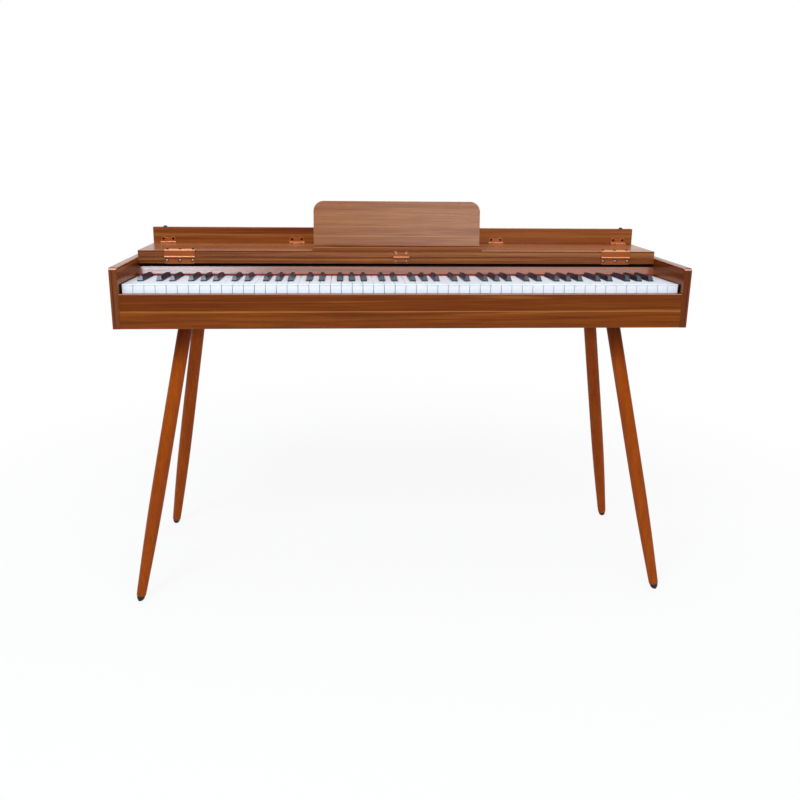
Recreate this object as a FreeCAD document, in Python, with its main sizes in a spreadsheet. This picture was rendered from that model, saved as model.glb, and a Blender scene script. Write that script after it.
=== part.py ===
import FreeCAD, Part
import math
import os
import Sketcher

# Digital piano on four splayed legs, lid open. Millimetres, +Z up, +X to the player's right,
# +Y away from the player. The origin is on the floor, midway between the four feet.

SIZES = {
    # cabinet
    "base_level": 640.0,
    "board": 15.0,
    "rail_height": 76.0,
    "panel_thick": 17.0,
    "panel_lean": 4.0,
    "panel_corner": 6.0,
    "edge_round": 2.0,
    "board_round": 1.0,
    # keyboard
    "white_pitch": 23.5,
    "white_gap": 1.0,
    "cheek_gap": 2.6,
    "white_length": 146.0,
    "white_body": 20.0,
    "white_ease": 0.7,
    "key_rise": 19.0,
    "key_slant": 3.6,
    "key_front_gap": 2.0,
    "key_tail": 74.0,
    "key_dip": 10.0,
    "black_width": 12.5,
    "black_top_width": 9.5,
    "black_rise": 12.5,
    "black_fall": 3.2,
    "black_drop": 1.0,
    "black_setback": 50.0,
    "black_slope": 8.0,
    "black_round": 1.6,
    "black_side_gap": 0.8,
    "black_front_gap": 1.5,
    "black_rear_gap": 1.6,
    # keybed under the keys
    "pivot_reach": 62.0,
    "rear_room": 145.0,
    "pivot_radius": 3.0,
    "pivot_flat": 2.0,
    "pivot_gap": 0.3,
    "pivot_post": 20.0,
    "keybed_plate": 3.0,
    "keybed_margin": 4.0,
    "keybed_side_gap": 1.6,
    "stop_setback": 18.0,
    "stop_width": 28.0,
    "stop_felt": 4.0,
    "stop_gap": 0.4,
    "sensor_setback": 95.0,
    "sensor_width": 50.0,
    "sensor_board_thick": 1.6,
    "sensor_pad_width": 24.0,
    "sensor_pad_height": 3.0,
    # strip and felt behind the keys
    "top_clearance": 24.0,
    "felt_depth": 2.5,
    "felt_height": 4.0,
    "felt_gap": 0.7,
    "strip_lean": 11.0,
    "strip_thick": 5.0,
    "strip_foot": 3.5,
    "strip_gap": 4.5,
    "shelf_setback": 8.5,
    # lid
    "lid_gap": 0.5,
    "lid_side_gap": 0.6,
    "lid_overhang": 5.6,
    "hinge_offset": 2.8,
    "flap_gap": 0.3,
    "bumper_height": 3.0,
    "bumper_radius": 4.5,
    "bumper_inset": 29.0,
    "rest_gap": 0.3,
    # large lid hinges
    "large_hinge_width": 70.0,
    "large_hinge_inset": 95.7,
    "leaf_thick": 1.6,
    "leaf_corner": 3.0,
    "leaf_margin": 0.8,
    "flange_depth": 18.0,
    "knuckle_radius": 2.6,
    "knuckle_gap": 0.2,
    "pin_radius": 1.3,
    "pin_clearance": 0.05,
    "leaf_clearance": 0.35,
    "large_screw_spread": 29.6,
    "large_screw_drop": 7.5,
    "large_screw_radius": 3.4,
    "large_screw_height": 1.8,
    "screw_crown": 1.1,
    # centre lid hinge
    "centre_hinge_width": 38.0,
    "centre_leaf_height": 12.0,
    "centre_leaf_thick": 1.0,
    "centre_knuckle_radius": 2.4,
    "centre_screw_spread": 24.0,
    "centre_scallop": 4.0,
    "small_screw_radius": 2.6,
    "small_screw_height": 1.2,
    # flap hinges
    "flap_hinge_width": 39.0,
    "flap_hinge_outer_inset": 37.0,
    "flap_hinge_inner_share": 0.415987,
    "flap_leaf_height": 12.0,
    "flap_leaf_thick": 1.0,
    "flap_knuckle_radius": 2.1,
    "flap_axis_offset": 2.4,
    "flap_axis_rise": 2.3,
    "flap_screw_spread": 23.0,
    # music stand
    "stand_width": 396.0,
    "stand_height": 106.0,
    "stand_thick": 9.0,
    "stand_corner": 24.0,
    "stand_ease": 1.5,
    "stand_shift": 9.0,
    "stand_lean_degrees": 6.0,
    "stand_lift": 8.5,
    "stand_axis_rise": 2.0,
    "stand_axis_inset": 1.5,
    "stand_front_gap": 1.5,
    "stand_knuckle_radius": 1.7,
    "stand_leaf_width": 40.0,
    "stand_leaf_height": 15.0,
    "stand_leaf_thick": 1.0,
    "stand_leaf_foot": 6.0,
    "stand_leaf_fit": 0.1,
    "stand_hinge_spread": 130.0,
    "ledge_depth": 14.0,
    "ledge_height": 8.0,
    "ledge_overhang": 4.0,
    "ledge_bevel": 6.5,
    # legs
    "leg_inset": 120.6,
    "leg_setback": 95.0,
    "splay_x": 115.0,
    "splay_y": 105.0,
    "leg_top_radius": 15.8,
    "leg_belly_radius": 15.9,
    "leg_belly_height": 235.0,
    "leg_waist_radius": 13.9,
    "leg_end_radius": 10.6,
    "leg_waist_height": 120.0,
    "leg_end_round": 1.5,
    "leg_overrun": 30.0,
    "glide_height": 12.0,
    "glide_top_radius": 9.2,
    "glide_mid_radius": 7.8,
    "glide_foot_radius": 4.8,
    "plate_side": 64.0,
    "plate_thick": 3.0,
    "plate_corner": 6.0,
    "plate_screw_inset": 8.0,
    "plate_screw_radius": 4.0,
    "plate_screw_height": 1.5,
    # sound and electronics
    "speaker_share": 0.488918,
    "speaker_setback": 73.0,
    "speaker_hole": 42.0,
    "speaker_flange": 52.0,
    "speaker_flange_thick": 3.0,
    "speaker_basket": 26.0,
    "speaker_basket_radius": 27.0,
    "speaker_magnet": 12.0,
    "speaker_magnet_radius": 24.0,
    "speaker_cone_wall": 2.0,
    "grille_radius": 50.0,
    "grille_thick": 2.0,
    "grille_slot_width": 4.0,
    "grille_slot_start": 12.0,
    "grille_slot_length": 27.0,
    "main_board_width": 150.0,
    "main_board_depth": 90.0,
    "main_board_thick": 1.6,
    "main_board_inset": 173.6,
    "main_board_setback": 73.0,
    "standoff_height": 7.0,
    "standoff_radius": 3.0,
    "standoff_inset": 6.0,
    "chip_side": 24.0,
    "chip_height": 3.0,
    # socket panel in the back board
    "socket_inset": 173.6,
    "socket_rise": 44.0,
    "socket_window_width": 170.0,
    "socket_window_height": 32.0,
    "socket_plate_rim": 8.0,
    "socket_plate_thick": 2.5,
    "jack_radius": 3.3,
    "jack_body": 15.0,
    "jack_depth": 14.0,
    "jack_pitch": 30.0,
    "inlet_radius": 3.0,
    "port_width": 12.0,
    "port_height": 11.0,
    "overrun": 5.0,
}

# A grille slot stands at every twelfth of a turn.
GRILLE_SLOTS = 12
WHITE_COUNT = 52
# The keyboard starts on A, so the first C is the third white key.
FIRST_C = 2
LARGE_SEGMENTS = 5
SMALL_SEGMENTS = 3

os.makedirs("parts", exist_ok=True)
doc = FreeCAD.newDocument("DigitalPiano")
sheet = doc.addObject("Spreadsheet::Sheet", "Sizes")
for row, (alias, number) in enumerate(SIZES.items(), start=1):
    sheet.set(f"A{row}", alias)
    sheet.set(f"B{row}", str(number))
    sheet.setAlias(f"B{row}", alias)
doc.recompute()


class Size:
    """A length that knows its number and the sheet expression that it comes from."""

    def __init__(self, number, text):
        self.number = float(number)
        self.text = text

    @staticmethod
    def of(other):
        """Turn a plain count or zero into a Size."""
        if isinstance(other, Size):
            return other
        return Size(other, repr(other))

    def __add__(self, other):
        other = Size.of(other)
        return Size(self.number + other.number, f"({self.text} + {other.text})")

    def __sub__(self, other):
        other = Size.of(other)
        return Size(self.number - other.number, f"({self.text} - {other.text})")

    def __mul__(self, other):
        other = Size.of(other)
        return Size(self.number * other.number, f"({self.text} * {other.text})")

    def __truediv__(self, other):
        other = Size.of(other)
        return Size(self.number / other.number, f"({self.text} / {other.text})")

    def __neg__(self):
        return Size(-self.number, f"(-1 * {self.text})")

    __radd__ = __add__
    __rmul__ = __mul__


def size(alias):
    """A driving dimension of the sheet."""
    return Size(sheet.get(alias), f"Sizes.{alias}")


S = {alias: size(alias) for alias in SIZES}
ZERO = Size(0, "0")
nodes = []


def bind(thing, prop, length):
    """Give one property its number and its expression."""
    setattr(thing, prop, length.number)
    thing.setExpression(prop, length.text)


def place(thing, x=ZERO, y=ZERO, z=ZERO, rotation=None):
    """Set where an object stands, with its position bound to the sheet."""
    base = FreeCAD.Vector(x.number, y.number, z.number)
    thing.Placement = FreeCAD.Placement(base, rotation or FreeCAD.Rotation())
    for axis, length in (("x", x), ("y", y), ("z", z)):
        if length.text != "0":
            thing.setExpression(f"Placement.Base.{axis}", length.text)


def turned(axis, degrees):
    """A rotation about one of the axes."""
    return FreeCAD.Rotation(FreeCAD.Vector(*axis), degrees)


X_AXIS = (1, 0, 0)
Y_AXIS = (0, 1, 0)
Z_AXIS = (0, 0, 1)
ALONG_X = turned(Y_AXIS, 90)
ALONG_Y = turned(X_AXIS, -90)


def keep(thing, label):
    """Name a finished sub-part and list it for export."""
    thing.Label = label
    nodes.append(thing)
    return thing


def origin_plane(body, role):
    """One of a body's own origin planes or axes."""
    return next(f for f in body.Origin.OriginFeatures if f.Role == role)


def new_body(name, several=False):
    """An empty body; several lets it hold more than one solid."""
    body = doc.addObject("PartDesign::Body", name)
    body.AllowCompound = several
    return body


def outline(body, name, role, polygons):
    """A sketch of closed polygons whose every corner is bound to the sheet."""
    sketch = body.newObject("Sketcher::SketchObject", name)
    sketch.AttachmentSupport = [(origin_plane(body, role), "")]
    sketch.MapMode = "FlatFace"
    start = 0
    for corners in polygons:
        count = len(corners)
        spots = [FreeCAD.Vector(a.number, b.number, 0) for a, b in corners]
        for i in range(count):
            sketch.addGeometry(Part.LineSegment(spots[i], spots[(i + 1) % count]), False)
        for i in range(count):
            after = start + (i + 1) % count
            sketch.addConstraint(Sketcher.Constraint("Coincident", start + i, 2, after, 1))
        for i, (a, b) in enumerate(corners):
            for kind, length in (("DistanceX", a), ("DistanceY", b)):
                spot = Sketcher.Constraint(kind, -1, 1, start + i, 1, length.number)
                index = sketch.addConstraint(spot)
                if length.text != "0":
                    sketch.setExpression(f"Constraints[{index}]", length.text)
        start += count
    return sketch


def discs(body, name, role, circles):
    """A sketch of circles, each given as its centre and radius."""
    sketch = body.newObject("Sketcher::SketchObject", name)
    sketch.AttachmentSupport = [(origin_plane(body, role), "")]
    sketch.MapMode = "FlatFace"
    for i, (a, b, radius) in enumerate(circles):
        centre = FreeCAD.Vector(a.number, b.number, 0)
        sketch.addGeometry(Part.Circle(centre, FreeCAD.Vector(*Z_AXIS), radius.number), False)
        for kind, length in (("DistanceX", a), ("DistanceY", b)):
            spot = Sketcher.Constraint(kind, -1, 1, i, 3, length.number)
            index = sketch.addConstraint(spot)
            if length.text != "0":
                sketch.setExpression(f"Constraints[{index}]", length.text)
        index = sketch.addConstraint(Sketcher.Constraint("Radius", i, radius.number))
        sketch.setExpression(f"Constraints[{index}]", radius.text)
    return sketch


def pad(body, sketch, length, midplane=False, reverse=False, name="Pad"):
    """Extrude a sketch."""
    feature = body.newObject("PartDesign::Pad", name)
    feature.Profile = sketch
    feature.Midplane = midplane
    feature.Reversed = reverse
    bind(feature, "Length", length)
    doc.recompute()
    return feature


def pocket(body, sketch, length, midplane=False, reverse=False, name="Pocket"):
    """Cut a sketch away, and make sure that it cut."""
    before = body.Shape.Volume
    feature = body.newObject("PartDesign::Pocket", name)
    feature.Profile = sketch
    feature.Midplane = midplane
    feature.Reversed = reverse
    bind(feature, "Length", length)
    doc.recompute()
    if not body.Shape.Volume < before:
        raise ValueError(f"{body.Name}: {name} cut nothing")
    return feature


def revolve(body, sketch, name="Revolution"):
    """Turn a sketch a full turn about its own vertical axis."""
    feature = body.newObject("PartDesign::Revolution", name)
    feature.Profile = sketch
    feature.ReferenceAxis = (sketch, ["V_Axis"])
    feature.Angle = 360.0
    doc.recompute()
    return feature


def edge_names(shape, test):
    """The names of the edges that a test picks by their two ends."""
    chosen = []
    for i, edge in enumerate(shape.Edges, start=1):
        ends = [v.Point for v in edge.Vertexes]
        if len(ends) == 2 and test(ends[0], ends[1]):
            chosen.append(f"Edge{i}")
    return chosen


def soften(body, kind, length, test, name):
    """Fillet or chamfer the picked edges of a body."""
    base = body.Tip
    names = edge_names(base.Shape, test)
    if not names:
        raise ValueError(f"{body.Name}: {name} found no edge")
    feature = body.newObject(f"PartDesign::{kind}", name)
    feature.Base = (base, names)
    bind(feature, "Radius" if kind == "Fillet" else "Size", length)
    doc.recompute()
    return feature


def near(a, b):
    """Whether two numbers are the same place."""
    return abs(a - b) < 1e-4


def box(name, corner, extent):
    """A block from its low corner and its three sides."""
    thing = doc.addObject("Part::Box", name)
    for prop, length in zip(("Length", "Width", "Height"), extent):
        bind(thing, prop, length)
    place(thing, *corner)
    return thing


def rod(name, start, radius, length, rotation=None):
    """A cylinder from the centre of its first end."""
    thing = doc.addObject("Part::Cylinder", name)
    bind(thing, "Radius", radius)
    bind(thing, "Height", length)
    place(thing, *start, rotation=rotation)
    return thing


def cone(name, start, radius, top_radius, length, rotation=None):
    """A truncated cone from the centre of its first end."""
    thing = doc.addObject("Part::Cone", name)
    bind(thing, "Radius1", radius)
    bind(thing, "Radius2", top_radius)
    bind(thing, "Height", length)
    place(thing, *start, rotation=rotation)
    return thing


def fuse(name, shapes):
    """Several shapes as one solid."""
    thing = doc.addObject("Part::MultiFuse", name)
    thing.Shapes = shapes
    thing.Refine = True
    return thing


def cut(name, base, tool):
    """One shape less another."""
    thing = doc.addObject("Part::Cut", name)
    thing.Base = base
    thing.Tool = tool
    return thing


def group(name, things):
    """Separate solids that share one node."""
    thing = doc.addObject("Part::Compound", name)
    thing.Links = things
    return thing


def mirrored(things):
    """The same places on both sides of the middle: each one with its sign."""
    return [(side, thing) for side in (-1, 1) for thing in things]


# Levels and planes that several sub-parts share.
half_inside = S["white_pitch"] * WHITE_COUNT / 2 + S["cheek_gap"]
cabinet_depth = (
    S["board"] + S["key_front_gap"] + S["white_length"] + S["pivot_reach"] + S["rear_room"]
)
front_face = -cabinet_depth / 2
rear_face = cabinet_depth / 2
floor_top = S["base_level"] + S["board"]
leg_top_x = half_inside - S["leg_inset"]
leg_top_y = rear_face - S["leg_setback"]
foot_x = leg_top_x + S["splay_x"]
foot_y = leg_top_y + S["splay_y"]
speaker_x = half_inside * S["speaker_share"]
speaker_y = rear_face - S["speaker_setback"]
main_board_x = half_inside - S["main_board_inset"]
main_board_y = rear_face - S["main_board_setback"]
socket_x = half_inside - S["socket_inset"]
socket_level = floor_top + S["socket_rise"]
rail_top = S["base_level"] + S["rail_height"]
key_top = rail_top + S["key_rise"]
key_bottom = key_top - S["white_body"]
key_front = front_face + S["board"] + S["key_front_gap"]
felt_front = key_front + S["white_length"]
key_rear = felt_front + S["key_tail"]
pivot_y = felt_front + S["pivot_reach"]
key_lever = pivot_y - key_front
# At rest the keys stand a little higher at the front than at the felt.
key_grade = S["key_slant"] / S["white_length"]
felt_level = key_top - S["key_slant"] + S["felt_gap"]
pivot_z = key_bottom - key_grade * key_lever - S["pivot_gap"] - S["pivot_radius"]
shelf_bottom = key_top + S["top_clearance"]
shelf_top = shelf_bottom + S["board"]
shelf_front = felt_front + S["shelf_setback"]
hinge_y = shelf_front - S["hinge_offset"]
hinge_z = shelf_top + S["lid_gap"] / 2
lid_bottom = shelf_top + S["lid_gap"]
lid_top = lid_bottom + S["board"]
half_lid = half_inside - S["lid_side_gap"]
# Closed, the lid's far edge stands a little forward of the front rail, level with the leaning
# front edges of the side panels.
lid_rear = hinge_y * 2 - front_face + S["lid_overhang"]
flap_front = lid_rear - S["board"]
flap_bottom = lid_top + S["flap_gap"]
# Closed, the flap's bumpers come down on the front rail.
flap_top = hinge_z * 2 - (rail_top + S["rest_gap"] + S["bumper_height"])
flap_axis_y = flap_front - S["flap_axis_offset"]
flap_axis_z = lid_top + S["flap_axis_rise"]
ledge_rear = shelf_front + S["ledge_depth"]
stand_face = ledge_rear + S["stand_front_gap"]
stand_axis_y = stand_face + S["stand_thick"] - S["stand_axis_inset"]
stand_axis_z = lid_top + S["stand_axis_rise"]
keyboard_left = -(S["white_pitch"] * WHITE_COUNT) / 2
black_slot = S["black_width"] + S["black_side_gap"] * 2


# Side panels: one board each, its front edge leaning out towards the top.
def side_panel(side, label):
    body = new_body(label)
    height = shelf_top - S["base_level"]
    corners = [
        (front_face, ZERO),
        (rear_face, ZERO),
        (rear_face, height),
        (front_face - S["panel_lean"], height),
    ]
    pad(body, outline(body, label + "_profile", "YZ_Plane", [corners]), S["panel_thick"])
    top = height.number
    front = corners[3][0].number
    soften(
        body, "Fillet", S["panel_corner"],
        lambda p, q: near(p.y, front) and near(q.y, front) and near(p.z, top) and near(q.z, top),
        label + "_corner",
    )
    low_front = front_face.number
    soften(
        body, "Fillet", S["edge_round"],
        lambda p, q: near(p.x, q.x) and (
            (near(p.z, top) and near(q.z, top))
            or (max(p.y, q.y) < low_front + 0.001 and max(p.z, q.z) > top / 2)
        ),
        label + "_edges",
    )
    inner = half_inside if side > 0 else -half_inside - S["panel_thick"]
    place(body, inner, ZERO, S["base_level"])
    return keep(body, label)


side_panel(-1, "side_panel_left")
side_panel(1, "side_panel_right")


# Long boards are profiles across the cabinet, drawn in the YZ plane and run along X.
def long_board(label, corners, half_length, rounds=None, radius=None):
    body = new_body(label)
    pad(body, outline(body, label + "_profile", "YZ_Plane", [corners]), half_length * 2, True)
    if rounds:
        soften(
            body, "Fillet", radius,
            lambda p, q: near(p.y, q.y) and near(p.z, q.z) and any(
                near(p.y, y.number) and near(p.z, z.number) for y, z in rounds
            ),
            label + "_edges",
        )
    return body


def rectangle(low_a, low_b, high_a, high_b):
    """The four corners of a rectangle in a sketch."""
    return [(low_a, low_b), (high_a, low_b), (high_a, high_b), (low_a, high_b)]


rail_inner = front_face + S["board"]
keep(
    long_board(
        "front_rail",
        rectangle(front_face, S["base_level"], rail_inner, rail_top),
        half_inside,
        [(front_face, rail_top), (rail_inner, rail_top), (front_face, S["base_level"])],
        S["board_round"],
    ),
    "front_rail",
)

rear_top_board = long_board(
    "rear_top_board",
    rectangle(shelf_front, shelf_bottom, rear_face, shelf_top),
    half_inside,
    [(shelf_front, shelf_bottom), (shelf_front, shelf_top), (rear_face, shelf_top)],
    S["board_round"],
)
keep(rear_top_board, "rear_top_board")

# The bottom board carries the legs and lets the two loudspeakers out downwards.
bottom_board = long_board(
    "bottom_board",
    rectangle(rail_inner, S["base_level"], rear_face, floor_top),
    half_inside,
)
speaker_holes = discs(
    bottom_board, "speaker_holes", "XY_Plane",
    [(speaker_x * side, speaker_y, S["speaker_hole"]) for side in (-1, 1)],
)
pocket(bottom_board, speaker_holes, floor_top + S["overrun"], reverse=True)
keep(bottom_board, "bottom_board")

# The back board stands on the bottom board and has a window for the sockets.
back_inner = rear_face - S["board"]
back_board = long_board(
    "back_board",
    rectangle(back_inner, floor_top, rear_face, shelf_bottom),
    half_inside,
)
window_low = socket_level - S["socket_window_height"] / 2
window = outline(
    back_board, "socket_window", "XZ_Plane",
    [rectangle(
        -socket_x - S["socket_window_width"] / 2, window_low,
        -socket_x + S["socket_window_width"] / 2, window_low + S["socket_window_height"],
    )],
)
pocket(back_board, window, rear_face + S["overrun"])
keep(back_board, "back_board")

# The strip behind the keys leans back and leaves a dark slot under the rear top board.
strip_front = felt_front + S["felt_depth"]
strip_low = felt_level
strip_knee = strip_low + S["strip_foot"]
strip_top = shelf_bottom - S["strip_gap"]
keep(
    long_board(
        "fallboard_strip",
        [
            (strip_front, strip_low),
            (strip_front + S["strip_thick"], strip_low),
            (strip_front + S["strip_thick"], strip_knee),
            (strip_front + S["strip_lean"] + S["strip_thick"], strip_top),
            (strip_front + S["strip_lean"], strip_top),
            (strip_front, strip_knee),
        ],
        half_inside,
    ),
    "fallboard_strip",
)

# The keybed frame: a plate with a stop bar, a sensor shelf and a pivot bar across it.
plate_top = floor_top + S["keybed_plate"]
stop_front = key_front + S["stop_setback"]
stop_rear = stop_front + S["stop_width"]
# A key's fall over the stop is its slant there and its dip, less towards the pivot.
stop_fall = key_grade * S["stop_setback"] + S["key_dip"] * (pivot_y - stop_front) / key_lever
stop_top = key_bottom - stop_fall - S["stop_gap"]
stop_bar_top = stop_top - S["stop_felt"]
sensor_front = key_front + S["sensor_setback"]
sensor_rear = sensor_front + S["sensor_width"]
sensor_fall = (
    key_grade * S["sensor_setback"] + S["key_dip"] * (pivot_y - sensor_front) / key_lever
)
sensor_top = key_bottom - sensor_fall - S["stop_gap"]
sensor_shelf = sensor_top - S["sensor_pad_height"] - S["sensor_board_thick"]
post_front = pivot_y - S["pivot_post"] / 2
post_rear = pivot_y + S["pivot_post"] / 2
bed_front = rail_inner + S["key_front_gap"]
bed_rear = post_rear + S["keybed_margin"]
keep(
    long_board(
        "keybed_frame",
        [
            (bed_front, floor_top),
            (bed_rear, floor_top),
            (bed_rear, plate_top),
            (post_rear, plate_top),
            (post_rear, pivot_z),
            (pivot_y + S["pivot_flat"], pivot_z + S["pivot_radius"]),
            (pivot_y - S["pivot_flat"], pivot_z + S["pivot_radius"]),
            (post_front, pivot_z),
            (post_front, plate_top),
            (sensor_rear, plate_top),
            (sensor_rear, sensor_shelf),
            (sensor_front, sensor_shelf),
            (sensor_front, plate_top),
            (stop_rear, plate_top),
            (stop_rear, stop_bar_top),
            (stop_front, stop_bar_top),
            (stop_front, plate_top),
            (bed_front, plate_top),
        ],
        half_inside - S["keybed_side_gap"],
    ),
    "keybed_frame",
)

half_felt = half_inside - S["keybed_side_gap"]
felts = [
    box(
        "key_felt",
        (-half_felt, felt_front, felt_level),
        (half_felt * 2, S["felt_depth"], S["felt_height"]),
    ),
    box(
        "stop_felt",
        (-half_felt, stop_front, stop_bar_top),
        (half_felt * 2, S["stop_width"], S["stop_felt"]),
    ),
]
keep(group("felt_strips_group", felts), "felt_strips")

sensor_middle = (sensor_front + sensor_rear) / 2
sensor_pad = box(
    "sensor_pad",
    (-half_felt, sensor_middle - S["sensor_pad_width"] / 2, sensor_shelf + S["sensor_board_thick"]),
    (half_felt * 2, S["sensor_pad_width"], S["sensor_pad_height"]),
)
sensor_plate = box(
    "sensor_plate",
    (-half_felt, sensor_front, sensor_shelf),
    (half_felt * 2, S["sensor_width"], S["sensor_board_thick"]),
)
keep(fuse("sensor_strip_solid", [sensor_plate, sensor_pad]), "sensor_strip")


# White keys. The tails of C, D and E share three pitches with two black keys, and those of
# F, G, A and B share four pitches with three, so all tails in one run are alike.
RUNS = {"C": 3, "D": 3, "E": 3, "F": 4, "G": 4, "A": 4, "B": 4}
PLACES = {"C": 0, "D": 1, "E": 2, "F": 0, "G": 1, "A": 2, "B": 3}
LETTERS = "CDEFGAB"
SHOULDER = key_front + S["black_setback"] - S["black_front_gap"]


slant = math.atan(key_grade.number)


def slanted(thing, level, drawn_in_place):
    """Slant keys about their front top edge, so that they fall towards the felt."""
    drop = level * (1 - math.cos(slant)) if drawn_in_place else level
    sway = level * -math.sin(slant) if drawn_in_place else ZERO
    place(
        thing,
        ZERO,
        key_front * (1 - math.cos(slant)) + sway,
        key_front * math.sin(slant) + drop,
        turned(X_AXIS, -math.degrees(slant)),
    )
    return thing


def white_letter(index):
    """The note letter of the white key at this index, from 0 at the left."""
    return LETTERS[(index - FIRST_C) % len(LETTERS)]


def tail_width(letter):
    """The width of a white key's tail, between its neighbours' slots."""
    run = RUNS[letter]
    return (S["white_pitch"] * run - black_slot * (run - 1)) / run


def tail_left(index):
    """Where a white key's tail starts."""
    letter = white_letter(index)
    run_start = keyboard_left + S["white_pitch"] * (index - PLACES[letter])
    return run_start + (tail_width(letter) + black_slot) * PLACES[letter]


def white_outline(index):
    """The plan of one white key: a full-width head and a tail between the black keys."""
    letter = white_letter(index)
    gap = S["white_gap"] / 2
    left = keyboard_left + S["white_pitch"] * index + gap
    right = keyboard_left + S["white_pitch"] * (index + 1) - gap
    notch_left = PLACES[letter] > 0 and index > 0
    notch_right = PLACES[letter] < RUNS[letter] - 1 and index < WHITE_COUNT - 1
    corners = [(left, key_front), (right, key_front)]
    if notch_right:
        edge = tail_left(index) + tail_width(letter)
        corners += [(right, SHOULDER), (edge, SHOULDER), (edge, key_rear)]
    else:
        corners += [(right, key_rear)]
    if notch_left:
        edge = tail_left(index)
        corners += [(edge, key_rear), (edge, SHOULDER), (left, SHOULDER)]
    else:
        corners += [(left, key_rear)]
    return corners


def white_keys(label, indices):
    """White keys that share a node, padded from one sketch of their outlines."""
    body = new_body(label, several=True)
    shapes = [white_outline(index) for index in indices]
    sketch = outline(body, label + "_plan", "XY_Plane", shapes)
    pad(body, sketch, S["white_body"], reverse=True)
    shoulder = SHOULDER.number
    soften(
        body, "Chamfer", S["white_ease"],
        lambda p, q: near(p.z, 0) and near(q.z, 0) and near(p.y, key_front.number)
        and near(q.y, key_front.number) or near(p.z, 0) and near(q.z, 0) and near(p.x, q.x)
        and min(p.y, q.y) < shoulder - 1,
        label + "_ease",
    )
    slanted(body, key_top, False)
    return keep(body, label)


def black_key(index):
    """The black key to the right of the white key at this index."""
    letter = white_letter(index)
    left = tail_left(index) + tail_width(letter) + S["black_side_gap"]
    front = key_front + S["black_setback"]
    name = f"black_{index}"
    stick_rise = S["white_body"] - S["black_drop"]
    stick = box(
        name + "_stick",
        (left, front, key_bottom),
        (S["black_width"], key_rear - front, stick_rise),
    )
    cap_length = felt_front - S["black_rear_gap"] - front
    inset = (S["black_width"] - S["black_top_width"]) / 2
    cap = doc.addObject("Part::Wedge", name + "_cap")
    for prop, length in (
        ("Xmin", ZERO),
        ("Xmax", S["black_width"]),
        ("X2min", inset),
        ("X2max", S["black_width"] - inset),
        ("Ymin", ZERO),
        ("Ymax", S["black_rise"] + S["black_drop"]),
        ("Zmin", -cap_length),
        ("Zmax", ZERO),
        ("Z2min", -cap_length),
        ("Z2max", -S["black_slope"]),
    ):
        bind(cap, prop, length)
    cap_fall = math.degrees(math.atan(S["black_fall"].number / cap_length.number))
    place(cap, left, front, key_bottom + stick_rise, turned(X_AXIS, 90 - cap_fall))
    whole = fuse(name + "_whole", [stick, cap])
    doc.recompute()
    crown = (key_top + S["black_rise"] / 2).number
    rear = (front + cap_length).number - 1
    rounded = doc.addObject("Part::Fillet", name + "_rounded")
    rounded.Base = whole
    picked = edge_names(
        whole.Shape,
        lambda p, q: min(p.z, q.z) > crown and min(p.y, q.y) < rear,
    )
    radius = S["black_round"].number
    rounded.Edges = [(int(name[len("Edge"):]), radius, radius) for name in picked]
    return rounded


def first_of_octave(octave):
    """The index of the C that starts an octave."""
    return FIRST_C + len(LETTERS) * (octave - 1)


def octave_whites(octave):
    """The white keys from C to B of an octave."""
    start = first_of_octave(octave)
    return list(range(start, start + len(LETTERS)))


def sharps(indices):
    """The white keys among these that have a black key to their right."""
    return [
        i for i in indices
        if PLACES[white_letter(i)] < RUNS[white_letter(i)] - 1 and i < WHITE_COUNT - 1
    ]


KEY_GROUPS = {
    "octave_1": list(range(FIRST_C)) + octave_whites(1),
    "octave_2": octave_whites(2),
    "octave_3": octave_whites(3),
    "octave_5": octave_whites(5),
    "octave_6": octave_whites(6),
    "octave_7": octave_whites(7) + [WHITE_COUNT - 1],
}
for octave_name, members in KEY_GROUPS.items():
    white_keys("white_keys_" + octave_name, members)
    keep(
        slanted(
            group("blacks_" + octave_name, [black_key(i) for i in sharps(members)]),
            key_top, True,
        ),
        "black_keys_" + octave_name,
    )

for middle_index in octave_whites(4):
    note = white_letter(middle_index).lower()
    white_keys(f"key_{note}4", [middle_index])
for middle_index in sharps(octave_whites(4)):
    note = white_letter(middle_index).lower()
    keep(slanted(black_key(middle_index), key_top, True), f"key_{note}_sharp4")

# The lid lies upside down on the rear top board when it is open.
keep(
    long_board(
        "lid_board",
        rectangle(shelf_front, lid_bottom, lid_rear, lid_top),
        half_lid,
        [(shelf_front, lid_bottom), (shelf_front, lid_top), (lid_rear, lid_bottom)],
        S["board_round"],
    ),
    "lid_board",
)

# The ledge in front of the music stand, flush with the lid's edge, with bevelled ends.
ledge = new_body("music_ledge")
half_ledge = S["stand_width"] / 2 + S["ledge_overhang"]
ledge_top = lid_top + S["ledge_height"]
ledge_sketch = outline(
    ledge, "ledge_face", "XZ_Plane",
    [[
        (-half_ledge, lid_top),
        (half_ledge, lid_top),
        (half_ledge, lid_top + S["board_round"]),
        (half_ledge - S["ledge_bevel"], ledge_top),
        (-half_ledge + S["ledge_bevel"], ledge_top),
        (-half_ledge, lid_top + S["board_round"]),
    ]],
)
pad(ledge, ledge_sketch, S["ledge_depth"], reverse=True)
soften(
    ledge, "Fillet", S["board_round"],
    lambda p, q: near(p.z, ledge_top.number) and near(q.z, ledge_top.number) and near(p.y, q.y),
    "ledge_edges",
)
place(ledge, -S["stand_shift"], shelf_front, ZERO)
keep(ledge, "music_ledge")

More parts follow.
